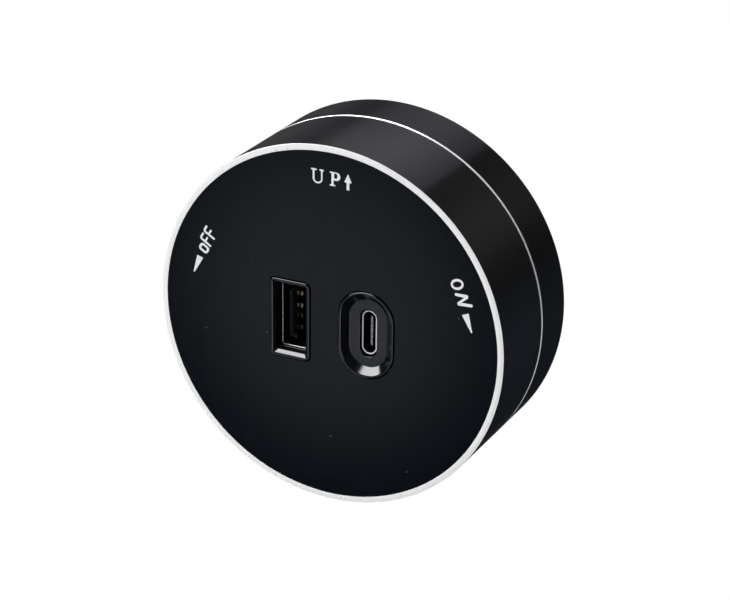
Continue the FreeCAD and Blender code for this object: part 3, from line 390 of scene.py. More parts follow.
class Shape:
    """One piece's mesh, shaped with bmesh operators in millimetres and put in the scene in metres."""

    fullest_corner = 0.985  # largest corner of a ring, as a share of half its smaller side

    def __init__(self) -> None:
        """Start empty."""
        self.bm = bmesh.new()
        self.bm.faces.layers.int.new("rounding")

    def lathe(self, profile: list[Point], steps: int = 256) -> "Shape":
        """Spin a closed profile about the turning axis.

        Args:
            profile: radius and Y of each corner, in order.
            steps: flats of the full turn.

        Returns:
            This shape.
        """
        corners = [self.bm.verts.new((radius, y, 0.0)) for radius, y in profile]
        sides = [self.bm.edges.new(pair) for pair in zip(corners, corners[1:] + corners[:1])]
        bmesh.ops.spin(self.bm, geom=corners + sides, cent=(0, 0, 0), axis=(0, 1, 0), angle=math.tau, steps=steps,
                       use_merge=True, dvec=(0, 0, 0), use_normal_flip=False, use_duplicate=False)
        return self.tidy()

    def loop(self, centre: float, width: float, height: float, corner: float, y: float, steps: int = 10) -> Edges:
        """Rounded rectangle as a ring of edges square to the axis.

        Args:
            centre: its middle along X.
            width: its size along X.
            height: its size along Z.
            corner: radius of its corners.
            y: its place along the axis.
            steps: segments of each corner.

        Returns:
            The ring's edges.
        """
        place = (Matrix.Translation((centre, y, 0)) @ Matrix.Rotation(math.radians(90), 4, "X")
                 @ Matrix.Diagonal((width, height, 1, 1)))
        made = bmesh.ops.create_grid(self.bm, x_segments=1, y_segments=1, size=0.5, matrix=place)
        corner = min(corner, min(width, height) / 2 * self.fullest_corner)
        bevelled = bmesh.ops.bevel(self.bm, geom=made["verts"], offset=corner, segments=steps, affect="VERTICES",
                                   profile=0.5, material=-1, clamp_overlap=False)
        rim = [edge for edge in {edge for vert in bevelled["verts"] for edge in vert.link_edges} if edge.is_boundary]
        faces = {face for edge in rim for face in edge.link_faces}
        bmesh.ops.delete(self.bm, geom=list(faces), context="FACES_ONLY")
        return rim

    @staticmethod
    def around(corners: set[bmesh.types.BMVert]) -> list[bmesh.types.BMVert]:
        """Corners of a ring in the order of their angle about its middle."""
        middle = sum((corner.co for corner in corners), Vector()) / len(corners)
        return sorted(corners, key=lambda corner: math.atan2(corner.co.z - middle.z, corner.co.x - middle.x))

    def loft(self, rings: list[Edges], closed: bool = True) -> "Shape":
        """Extrude each ring of edges on to the next.

        Args:
            rings: the rings in order, all with the same number of edges.
            closed: whether the last is extruded to the first, or both ends are capped.

        Returns:
            This shape.
        """
        pairs = list(zip(rings, rings[1:]))
        if closed:
            pairs.append((rings[-1], rings[0]))
        for ring, following in pairs:
            pushed = bmesh.ops.extrude_edge_only(self.bm, edges=ring)
            moved = {part for part in pushed["geom"] if isinstance(part, bmesh.types.BMVert)}
            goals = {corner for edge in following for corner in edge.verts}
            for corner, goal in zip(self.around(moved), self.around(goals)):
                corner.co = goal.co
        if not closed:
            for ring in (rings[0], rings[-1]):
                bmesh.ops.edgeloop_fill(self.bm, edges=ring)
        return self.tidy()

    def box(self, centre: Triple, size: Triple) -> "Shape":
        """Add a block, given its middle and its three lengths."""
        bmesh.ops.create_cube(self.bm, size=1.0, matrix=Matrix.Translation(centre) @ Matrix.Diagonal((*size, 1)))
        return self

    def rod(self, x: float, z: float, radius: float, start: float, end: float, steps: int = 64) -> "Shape":
        """Add a round bar along the axis.

        Args:
            x: its place across.
            z: its place up.
            radius: its radius.
            start: its lowest Y.
            end: its highest Y.
            steps: flats round it.

        Returns:
            This shape.
        """
        place = Matrix.Translation((x, (start + end) / 2, z)) @ Matrix.Rotation(math.radians(90), 4, "X")
        bmesh.ops.create_cone(self.bm, cap_ends=True, segments=steps, radius1=radius, radius2=radius,
                              depth=end - start, matrix=place)
        return self

    def plate(self, outline: Outline, start: float, end: float, place: Matrix | None = None,
              steps: int = 6) -> "Shape":
        """Add a flat plate with rounded corners, drawn in X and Z.

        Args:
            outline: each corner and the radius that rounds it.
            start: its lowest Y.
            end: its highest Y.
            place: turn and shift in the plane, if any.
            steps: segments of each corner.

        Returns:
            This shape.
        """
        corners = [self.bm.verts.new((x, start, z)) for (x, z), _ in outline]
        face = self.bm.faces.new(corners)
        if place:
            bmesh.ops.transform(self.bm, matrix=place, verts=corners)
        before = set(self.bm.faces) - {face}
        for radius in sorted({radius for _, radius in outline if radius > 0}):
            chosen = [corner for corner, (_, own) in zip(corners, outline) if own == radius]
            bmesh.ops.bevel(self.bm, geom=chosen, offset=radius, segments=steps, affect="VERTICES", profile=0.5,
                            offset_type="OFFSET", material=-1, clamp_overlap=False)
        new = [face for face in self.bm.faces if face not in before]
        return self.pulled(new, (0, end - start, 0))

    def pulled(self, faces: list[bmesh.types.BMFace], way: Triple) -> "Shape":
        """Give flat faces a thickness.

        Args:
            faces: the faces.
            way: how far they are pulled.

        Returns:
            This shape.
        """
        pushed = bmesh.ops.extrude_face_region(self.bm, geom=faces)
        moved = [part for part in pushed["geom"] if isinstance(part, bmesh.types.BMVert)]
        bmesh.ops.translate(self.bm, vec=way, verts=moved)
        return self.tidy()

    def tidy(self) -> "Shape":
        """Merge doubles and point every face outwards.

        Returns:
            This shape.
        """
        bmesh.ops.remove_doubles(self.bm, verts=self.bm.verts, dist=DOUBLE)
        bmesh.ops.recalc_face_normals(self.bm, faces=self.bm.faces)
        return self

    def soften(self, width: float, segments: int = 2, sharper_than: float = 28.0, low: float = -ANYWHERE,
               high: float = ANYWHERE, hollow: bool = True) -> "Shape":
        """Round the sharp edges that lie between two places along the axis.

        Args:
            width: how far the rounding reaches.
            segments: its segments.
            sharper_than: least angle between faces, in degrees.
            low: lowest Y of an edge.
            high: highest Y of an edge.
            hollow: whether inner corners are rounded too.

        Returns:
            This shape.
        """
        sharp = [edge for edge in self.bm.edges
                 if len(edge.link_faces) == 2 and edge.calc_face_angle() > math.radians(sharper_than)
                 and (hollow or edge.calc_face_angle_signed() > 0)
                 and all(low <= vert.co.y <= high for vert in edge.verts)]
        made = bmesh.ops.bevel(self.bm, geom=sharp, offset=width, segments=segments, affect="EDGES", profile=0.5,
                               material=-1, clamp_overlap=True)
        rounding = self.bm.faces.layers.int["rounding"]
        for face in made["faces"]:
            face[rounding] = 1
        return self

    def finish(self, name: str, material: bpy.types.Material, smooth_below: float) -> bpy.types.Object:
        """Put the shape in the scene as an object at the origin.

        Args:
            name: name of the piece.
            material: its main material.
            smooth_below: edges flatter than this, in degrees, shade smooth.

        Returns:
            The object.
        """
        self.tidy()
        rounding = self.bm.faces.layers.int["rounding"]
        for face in self.bm.faces:
            face.smooth = True
        for edge in self.bm.edges:
            edge.smooth = len(edge.link_faces) != 2 or (
                edge.calc_face_angle() < math.radians(smooth_below)
                and edge.link_faces[0][rounding] == edge.link_faces[1][rounding])
        self.bm.faces.layers.int.remove(rounding)
        bmesh.ops.scale(self.bm, vec=(MM, MM, MM), verts=self.bm.verts)
        mesh = bpy.data.meshes.new(name)
        self.bm.to_mesh(mesh)
        self.bm.free()
        piece = bpy.data.objects.new(name, mesh)
        bpy.context.scene.collection.objects.link(piece)
        mesh.materials.append(material)
        return piece

    def cut(self, tool: "Shape", operation: str = "DIFFERENCE") -> "Shape":
        """Cut another shape out of this one, or join it on.

        Args:
            tool: the other shape, used up here.
            operation: the Boolean modifier's operation.

        Returns:
            This shape.
        """
        objects = []
        for shape in (self, tool):
            shape.tidy()
            mesh = bpy.data.meshes.new("cut")
            shape.bm.to_mesh(mesh)
            shape.bm.free()
            objects.append(bpy.data.objects.new("cut", mesh))
            bpy.context.scene.collection.objects.link(objects[-1])
        boolean = objects[0].modifiers.new("cut", "BOOLEAN")
        boolean.operation = operation
        boolean.solver = "EXACT"
        boolean.use_self = operation == "UNION"
        boolean.object = objects[1]
        result = bpy.data.meshes.new_from_object(
            objects[0].evaluated_get(bpy.context.evaluated_depsgraph_get()))
        for made in objects:
            mesh = made.data
            bpy.data.objects.remove(made)
            bpy.data.meshes.remove(mesh)
        self.bm = bmesh.new()
        self.bm.from_mesh(result)
        if "rounding" not in self.bm.faces.layers.int:
            self.bm.faces.layers.int.new("rounding")
        bpy.data.meshes.remove(result)
        return self.tidy()


def box_mm(node: str) -> tuple[Vector, Vector]:
    """Lowest and highest corner of a CAD node, in millimetres."""
    low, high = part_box(node)
    return Vector(low) / MM, Vector(high) / MM


class Workshop:
    """Builds the materials and places finished pieces on their bodies."""

    def __init__(self) -> None:
        """Make every material."""
        effects = Effects()
        self.materials = {finish.name: finish.build(effects) for finish in FINISHES}

    def add(self, shape: Shape, name: str, finish: str, slot: Slot, *nodes: str, section: Section = Section.FRONT,
            smooth_below: float = 32.0) -> bpy.types.Object:
        """Finish a piece, seat it on its body and hide the CAD nodes that it stands for.

        Args:
            shape: its shape, used up here.
            name: its name.
            finish: name of its main finish.
            slot: the record's slot of that finish; not used.
            nodes: the CAD nodes that it replaces.
            section: the body that carries it.
            smooth_below: edges flatter than this, in degrees, shade smooth.

        Returns:
            The piece.
        """
        piece = shape.finish(name, self.materials[finish], smooth_below)
        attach(piece, section.value)
        if nodes:
            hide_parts(*nodes)
        LOG.info("%s: %d faces on %s", piece.name, len(piece.data.polygons), section.value)
        return piece

    def second(self, piece: bpy.types.Object, finish: str, low: float, high: float) -> None:
        """Give the faces between two places along the axis another finish.

        Args:
            piece: the finished piece.
            finish: the other finish.
            low: lowest Y of a face's middle, in millimetres.
            high: highest Y of a face's middle, in millimetres.
        """
        piece.data.materials.append(self.materials[finish])
        for face in piece.data.polygons:
            if low <= face.center.y / MM <= high:
                face.material_index = 1

    def dress(self, node: str, finish: str) -> None:
        """Give a CAD node its finish through its own slots.

        Args:
            node: name of the CAD node.
            finish: name of its finish.
        """
        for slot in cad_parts[node].material_slots:
            slot.material = self.materials[finish]
        LOG.info("%s: dressed in %s", node, finish)


# Sub-assemblies


@dataclass
class Housing:
    """Both sleeves and the glossy panel between the front sleeve's lip. Sizes in millimetres."""

    shop: Workshop
    wall: float = 1.2
    lip_chamfer: float = 0.5
    lip_chamfer_depth: float = 0.12
    seam_chamfer: float = 0.45
    seam_chamfer_radial: float = 0.35
    edge: float = 0.05
    rear_edge: float = 0.3
    bezel_joint: float = 0.24
    cut_facing: float = 0.3
    flat_facing: float = 0.98

    def build(self) -> None:
        """Build the sleeves and the panel."""
        self.front_sleeve()
        self.rear_sleeve()
        self.face_panel()

    def bright(self, piece: bpy.types.Object, front: float, back: float) -> None:
        """Give the cut faces of a sleeve their bright finish, finer on the slope than on the flat.

        Args:
            piece: the sleeve.
            front: lowest Y of the cut faces, in millimetres.
            back: highest Y of the cut faces, in millimetres.
        """
        for finish in ("bright cut", "bright cut, fine"):
            piece.data.materials.append(self.shop.materials[finish])
        for face in piece.data.polygons:
            facing = -face.normal.y
            if facing > self.cut_facing and front - NEAR <= face.center.y / MM <= back + NEAR:
                face.material_index = 1 if facing > self.flat_facing else 2

    def front_sleeve(self) -> None:
        """Front sleeve with its bright lip and chamfer."""
        low, high = box_mm("front_sleeve")
        outer, inner = high.x, high.x - self.wall
        shape = Shape().lathe([
            (inner, low.y), (outer - self.lip_chamfer, low.y), (outer, low.y + self.lip_chamfer_depth),
            (outer, high.y), (inner, high.y)])
        shape.soften(self.edge)
        piece = self.shop.add(shape, "sleeve_front", "anodised black", Slot.SLEEVE, "front_sleeve")
        self.bright(piece, low.y, low.y + self.lip_chamfer_depth)

    def rear_sleeve(self) -> None:
        """Rear sleeve with the bright chamfer along the seam."""
        low, high = box_mm("rear_sleeve")
        outer, inner = high.x, high.x - self.wall
        shape = Shape().lathe([
            (inner, low.y), (outer - self.seam_chamfer_radial, low.y), (outer, low.y + self.seam_chamfer),
            (outer, high.y - self.rear_edge), (outer - self.rear_edge, high.y), (inner, high.y)])
        shape.soften(self.edge)
        # The rear sleeve's finish reflects less than the front's: painted shade.
        piece = self.shop.add(shape, "sleeve_rear", "anodised black, rear, painted shade", Slot.SLEEVE, "rear_sleeve",
                              section=Section.BASE)
        self.bright(piece, low.y, low.y + self.seam_chamfer)

    def face_panel(self) -> None:
        """Glossy disc with an opening for each bezel."""
        low, high = box_mm("face_panel")
        shape = Shape()
        shape.rod(0, 0, high.x, low.y, high.y, steps=256)
        for node in ("usb_a_bezel", "usb_c_bezel"):
            port = PORTS[node]
            tool = Shape()
            tool.loft([tool.loop(port.centre, *port.grown(self.bezel_joint), y)
                       for y in (low.y - OVERSHOOT, high.y + OVERSHOOT)], closed=False)
            shape.cut(tool)
        shape.soften(self.edge, high=low.y + NEAR)
        self.shop.add(shape, "panel_face", "black acrylic", Slot.PANEL, "face_panel")


@dataclass(frozen=True)
class PortOutline:
    """Outside of one port's bezel, in millimetres."""

    centre: float
    width: float
    height: float
    corner: float

    def grown(self, extra: float) -> Triple:
        """Width, height and corner of the outline made larger all round."""
        return self.width + 2 * extra, self.height + 2 * extra, self.corner + extra


PORTS = {
    "usb_a_bezel": PortOutline(-8.0, 8.3, 15.8, 1.0),
    "usb_c_bezel": PortOutline(8.0, 11.4, 17.2, 5.7),
}


@dataclass
class Port:
    """What both ports share: a bezel held behind the panel by its flange, and a steel shell. In millimetres."""

    shop: Workshop
    flange: float = 1.3
    flange_thickness: float = 0.8
    rim_edge: float = 0.11
    steel_depth: float = 0.12
    smooth_below: float = 40.0
    shell_width: float = field(init=False)
    shell_height: float = field(init=False)
    shell_corner: float = field(init=False)
    shell_wall: float = field(init=False)
    lip_edge: float = field(init=False)
    steel: str = field(init=False)
    steps: int = field(init=False)

    def start(self, letter: str) -> None:
        """Note the port's letter, its outline and where the module's face is.

        Args:
            letter: a or c.
        """
        self.letter = letter
        self.outline = PORTS[f"usb_{letter}_bezel"]
        self.face = box_mm("front_sleeve")[0].y

    def add(self, shape: Shape, name: str, finish: str, slot: Slot, node: str) -> bpy.types.Object:
        """Add a piece of the port, whose edges shade smooth up to a steeper angle."""
        return self.shop.add(shape, name, finish, slot, node, smooth_below=self.smooth_below)

    def lofted(self, rings: list[tuple[Triple, float]], closed: bool = True) -> Shape:
        """Shape through rings, each given by its width, height and corner and its place along the axis."""
        shape = Shape()
        return shape.loft([shape.loop(self.outline.centre, *sizes, y, self.steps) for sizes, y in rings], closed)

    def moulded(self, inside: list[tuple[Triple, float]]) -> Shape:
        """Bezel with its flange and its rounded rim.

        Args:
            inside: rings of its inside, from the rear end to the front.

        Returns:
            The shape.
        """
        low, high = box_mm(f"usb_{self.letter}_bezel")
        body, flange = self.outline.grown(0), self.outline.grown(self.flange)
        front = box_mm("face_panel")[1].y
        back = front + self.flange_thickness
        outside = [(body, low.y), (body, front), (flange, front), (flange, back), (body, back), (body, high.y)]
        return self.lofted(outside + inside).soften(self.rim_edge, segments=3, high=low.y + NEAR)

    def shell(self) -> None:
        """Steel shell with a rounded bright lip, and dark steel behind the lip as painted shade."""
        low, high = box_mm(f"usb_{self.letter}_shell")
        wall = self.shell_wall
        outer = (self.shell_width, self.shell_height, self.shell_corner)
        inner = (self.shell_width - 2 * wall, self.shell_height - 2 * wall, self.shell_corner - wall)
        shape = self.lofted([(outer, low.y), (outer, high.y), (inner, high.y), (inner, low.y)])
        shape.soften(self.lip_edge, segments=4, high=low.y + NEAR)
        piece = self.add(shape, f"shell_{self.letter}", self.steel, Slot.SHELL, f"usb_{self.letter}_shell")
        # Behind the lip, the shell's walls take a dark steel: painted shade inside the port.
        self.shop.second(piece, "shaded steel", low.y + self.steel_depth, high.y)


@dataclass
class PortA(Port):
    """Rectangular port: bezel, folded shell, tongue and its four contacts. Sizes in millimetres."""

    rim: float = 0.45
    bevel: float = 0.6
    bevel_depth: float = 0.45
    well_corner: float = 0.5
    ledge_depth: float = 1.95
    ledge_corner: float = 0.1
    shade_below: float = 0.2
    shell_width: float = 5.7
    shell_height: float = 13.1
    shell_corner: float = 0.55
    shell_wall: float = 0.19
    shell_gap: float = 0.14
    lip_edge: float = 0.08
    steel: str = "port steel"
    steps: int = 10
    tongue_left: float = 0.8
    tongue_thickness: float = 1.84
    tongue_height: float = 10.9
    tongue_lift: float = 0.1
    tongue_lead: float = 0.72
    block: float = 2.4
    block_play: float = 0.7
    contact_width: float = 1.0
    contact_crown: float = 0.3
    contact_setback: float = 0.7
    contact_edge: float = 0.24
    crown_length: float = 2.3
    contact_places: tuple[float, ...] = (3.65, 1.15, -0.85, -3.35)

    def build(self) -> None:
        """Build every piece of the port."""
        self.start("a")
        self.bezel()
        self.shell()
        self.tongue()
        self.contacts()

    def bezel(self) -> None:
        """Moulded insert with a flat rim, a bevel and a ledge around the shell."""
        low, high = box_mm("usb_a_bezel")
        out = self.outline
        inset = 2 * (self.rim + self.bevel)
        ledge = self.face + self.ledge_depth
        opening = (self.shell_width + 2 * self.shell_gap, self.shell_height + 2 * self.shell_gap,
                   self.shell_corner + self.shell_gap)
        well = (out.width - inset, out.height - inset, self.well_corner)
        mouth = (out.width - 2 * self.rim, out.height - 2 * self.rim, self.well_corner)
        bevelled = self.face + self.bevel_depth
        inside = [(opening, high.y), (opening, ledge), (well, ledge), (well, bevelled), (mouth, low.y)]
        shape = self.moulded(inside)
        shape.soften(self.ledge_corner, segments=4, low=ledge - NEAR, high=ledge + NEAR, hollow=False)
        piece = self.add(shape, "bezel_a", "gloss black plastic", Slot.BEZEL, "usb_a_bezel")
        # The faces deeper than the bevel get a near-black painted shade.
        self.darken(piece, bevelled + self.shade_below)

    def darken(self, piece: bpy.types.Object, depth: float, slanting: Point = (0.3, 0.95)) -> None:
        """Paint shade with a near-black finish on the ledge around the shell and the other faces deeper than the bevel,
        but not on the rounded corner below the ledge, which faces up.

        Args:
            piece: the bezel.
            depth: lowest Y of the faces in painted shade, in millimetres.
            slanting: how far up the faces of the corner point, least and most.
        """
        # The near-black finish is painted shade.
        piece.data.materials.append(self.shop.materials["painted shade black"])
        for face in piece.data.polygons:
            if face.center.y / MM > depth and not slanting[0] < face.normal.z < slanting[1]:
                face.material_index = 1

    def tongue(self) -> None:
        """Insulator block and the tongue that carries the contacts."""
        low, high = box_mm("usb_a_tongue")
        left = self.outline.centre - self.shell_width / 2 + self.tongue_left
        middle = left + self.tongue_thickness / 2
        shape = Shape().box((middle, (low.y + high.y - self.block) / 2, self.tongue_lift),
                            (self.tongue_thickness, high.y - self.block - low.y, self.tongue_height))
        shape.soften(self.tongue_lead, segments=1, high=low.y + NEAR)
        shape.box((self.outline.centre, high.y - self.block / 2, 0),
                  (self.shell_width - self.block_play, self.block, self.shell_height - self.block_play))
        self.add(shape, "tongue_a", "black insulator", Slot.TONGUE, "usb_a_tongue")

    def contacts(self) -> None:
        """Four gold strips with rounded fronts, the lower two in a darker gold as painted shade."""
        low, high = box_mm("usb_a_contacts")
        low.y += self.contact_setback
        middle, size = (low + high) / 2, high - low
        shape = Shape()
        for place in self.contact_places:
            shape.box((middle.x, middle.y, place), (size.x, size.y, self.contact_width))
            shape.box((middle.x + self.contact_crown / 2, low.y + self.crown_length / 2, place),
                      (size.x + self.contact_crown, self.crown_length, self.contact_width))
        shape.soften(self.contact_edge, segments=4)
        piece = self.shop.add(shape, "contacts_a", "contact gold", Slot.GOLD, "usb_a_contacts", smooth_below=60)
        # The lower two contacts take a darker gold: painted shade.
        piece.data.materials.append(self.shop.materials["contact gold, painted shade"])
        for face in piece.data.polygons:
            face.material_index = int(face.center.z / MM < self.contact_places[1] - self.contact_width)


@dataclass
class PortC(Port):
    """Oval port: dished bezel, drawn shell, tongue. Sizes in millimetres."""

    rim: float = 0.4
    slope: float = 1.40
    floor_depth: float = 1.05
    floor_edge: float = 0.03
    shell_width: float = 3.1
    shell_height: float = 8.88
    shell_corner: float = 1.55
    shell_wall: float = 0.26
    shell_gap: float = 0.22
    shell_end_gap: float = 0.374
    opening_edge: float = 0.08
    lip_edge: float = 0.06
    steel: str = "drawn steel"
    steps: int = 40
    tongue_thickness: float = 0.7
    tongue_height: float = 6.2
    tongue_lead: float = 0.13
    plate_depth: float = 0.005
    block: float = 3.0
    block_play: float = 0.05

    def build(self) -> None:
        """Build every piece of the port."""
        self.start("c")
        self.bezel()
        self.shell()
        self.tongue()

    def bezel(self) -> None:
        """Moulded insert with a flat rim and a slope down to the floor around the shell."""
        low, high = box_mm("usb_c_bezel")
        floor = self.face + self.floor_depth
        opening = (self.shell_width + 2 * self.shell_gap, self.shell_height + 2 * self.shell_end_gap,
                   self.shell_corner + self.shell_gap)
        inside = [(opening, high.y), (opening, floor), (self.outline.grown(-self.rim - self.slope), floor),
                  (self.outline.grown(-self.rim), low.y)]
        shape = self.moulded(inside)
        shape.soften(self.opening_edge, segments=4, sharper_than=60, low=floor - NEAR, high=floor + NEAR)
        shape.soften(self.floor_edge, segments=2, low=self.face + self.floor_depth / 2, high=floor + NEAR)
        self.add(shape, "bezel_c", "gloss black plastic", Slot.BEZEL, "usb_c_bezel")

    def tongue(self) -> None:
        """Thin tongue on its insulator block."""
        low, high = box_mm("usb_c_tongue")
        shape = Shape().box((self.outline.centre, (low.y + high.y - self.block) / 2, 0),
                            (self.tongue_thickness, high.y - self.block - low.y, self.tongue_height))
        shape.soften(self.tongue_lead, segments=3, high=low.y + NEAR)
        gap = 2 * (self.shell_wall + self.block_play)
        sizes = (self.shell_width - gap, self.shell_height - gap, (self.shell_width - gap) / 2)
        shape.cut(self.lofted([(sizes, high.y - self.block), (sizes, high.y)], closed=False), "UNION")
        piece = self.add(shape, "tongue_c", "black insulator", Slot.TONGUE, "usb_c_tongue")
        self.shop.second(piece, "tongue plate", low.y - NEAR, low.y + self.plate_depth)


@dataclass
class FaceMarks:
    """White printed marks on the panel. Sizes in millimetres, places seen from the face."""

    shop: Workshop
    thickness: float = 0.02
    sunk: float = 0.01
    letter: float = 2.9

    def build(self) -> None:
        """Print every mark."""
        panel = box_mm("face_panel")[0].y
        self.front, self.back = panel - self.thickness, panel + self.sunk
        for name, shapes in (("mark_up", self.up()), ("mark_on", self.on()), ("mark_off", self.off())):
            for number, shape in enumerate(shapes, start=1):
                self.shop.add(shape, f"{name}_{number}", "white print", Slot.PANEL)

    def turn(self, x: float, z: float, degrees: float) -> Matrix:
        """Transform to the place of a mark whose top points at an angle from +X."""
        return Matrix.Translation((x, 0, z)) @ Matrix.Rotation(math.radians(90 - degrees), 4, "Y")

    def printed(self, outline: Outline, place: Matrix | None = None) -> Shape:
        """One printed patch with rounded corners."""
        return Shape().plate(outline, self.front, self.back, place)

    def punched(self, outline: Outline, hole: Outline, place: Matrix | None = None) -> Shape:
        """One printed patch with a hole through it."""
        cutter = Shape().plate(hole, self.front - OVERSHOOT, self.back + OVERSHOOT, place)
        return self.printed(outline, place).cut(cutter)

    @staticmethod
    def block(width: float, height: float, rounding: float) -> Outline:
        """Corners of a rounded rectangle about the middle."""
        return [((x * width / 2, z * height / 2), rounding) for x, z in ((-1, -1), (1, -1), (1, 1), (-1, 1))]

    def up(self) -> list[Shape]:
        """The letters U and P with slab serifs, and an arrow, all upright.

        Returns:
            One shape for each.
        """
        letter_u = self.printed([
            ((-3.54, 31.22), 0.1), ((-3.54, 30.92), 0.08), ((-3.24, 30.92), 0.0), ((-3.24, 28.40), 0.99),
            ((-1.20, 28.40), 0.99), ((-1.20, 30.92), 0.0), ((-0.93, 30.92), 0.08), ((-0.93, 31.22), 0.1),
            ((-1.81, 31.22), 0.1), ((-1.81, 30.92), 0.08), ((-1.50, 30.92), 0.0), ((-1.50, 28.74), 0.55),
            ((-2.85, 28.74), 0.55), ((-2.85, 30.92), 0.0), ((-2.40, 30.92), 0.08), ((-2.40, 31.22), 0.1)])
        letter_p = self.punched([
            ((0.31, 31.17), 0.1), ((0.31, 30.90), 0.08), ((0.64, 30.90), 0.0), ((0.64, 28.70), 0.0),
            ((0.31, 28.70), 0.1), ((0.31, 28.42), 0.1), ((1.44, 28.42), 0.1), ((1.44, 28.70), 0.1),
            ((1.09, 28.70), 0.0), ((1.09, 29.54), 0.0), ((2.47, 29.54), 0.8), ((2.47, 31.17), 0.8)],
            [((1.20, 29.94), 0.05), ((1.86, 29.94), 0.35), ((1.86, 30.94), 0.35), ((1.20, 30.94), 0.05)])
        arrow = self.printed([
            ((4.03, 31.26), 0.08), ((3.27, 29.62), 0.08), ((3.76, 29.58), 0.0), ((3.76, 28.15), 0.08),
            ((4.33, 28.15), 0.08), ((4.33, 29.58), 0.0), ((4.80, 29.62), 0.08)])
        return [letter_u, letter_p, arrow]

    def on(self) -> list[Shape]:
        """The word ON with its wedge, tops outwards.

        Returns:
            A shape for each letter, and the wedge.
        """
        centre = self.turn(26.35, 13.98, 20)
        ovals = []
        for width, height, reach in ((1.06, 1.30, 0.0), (0.58, 0.88, OVERSHOOT)):
            oval = Shape().rod(0, 0, 1, self.front - reach, self.back + reach)
            bmesh.ops.transform(oval.bm, matrix=centre @ Matrix.Diagonal((width, 1, height, 1)), verts=oval.bm.verts)
            ovals.append(oval)
        letter_o = ovals[0].cut(ovals[1])
        letter_n = self.printed([
            ((25.92, 12.23), 0.25), ((28.58, 12.30), 0.34), ((28.58, 11.66), 0.15), ((27.28, 10.56), 0.05),
            ((29.54, 10.64), 0.24), ((29.54, 10.08), 0.24), ((26.58, 9.88), 0.26), ((26.44, 10.42), 0.18),
            ((27.82, 11.62), 0.05), ((25.92, 11.70), 0.25)])
        wedge = self.printed([((27.44, 8.18), 0.1), ((28.78, 8.72), 0.1), ((29.62, 5.02), 0.1),
                              ((29.38, 5.00), 0.1)])
        return [letter_o, letter_n, wedge]

    def off(self) -> list[Shape]:
        """The word OFF with its wedge, tops outwards.

        Returns:
            A shape for each letter, and the wedge.
        """
        place = self.turn(-26.52, 10.89, 148)
        letter_o = self.punched(self.block(1.62, 2.15, 0.62), self.block(0.70, 1.20, 0.22), place)
        letters = [letter_o]
        half = self.letter / 2
        for x, z, degrees in ((-25.99, 12.65, 148), (-25.19, 14.24, 149.5)):
            letters.append(self.printed([
                ((-0.66, -half), 0.14), ((-0.24, -half), 0.14), ((-0.24, -0.12), 0.04), ((0.68, -0.12), 0.14),
                ((0.68, 0.28), 0.14), ((-0.24, 0.28), 0.04), ((-0.24, 1.02), 0.14), ((0.84, 1.02), 0.14),
                ((0.84, half), 0.14), ((-0.66, half), 0.6)], self.turn(x, z, degrees)))
        wedge = self.printed([((-28.06, 9.23), 0.1), ((-26.76, 8.85), 0.1), ((-28.66, 5.64), 0.1),
                              ((-28.94, 5.62), 0.1)])
        return [*letters, wedge]


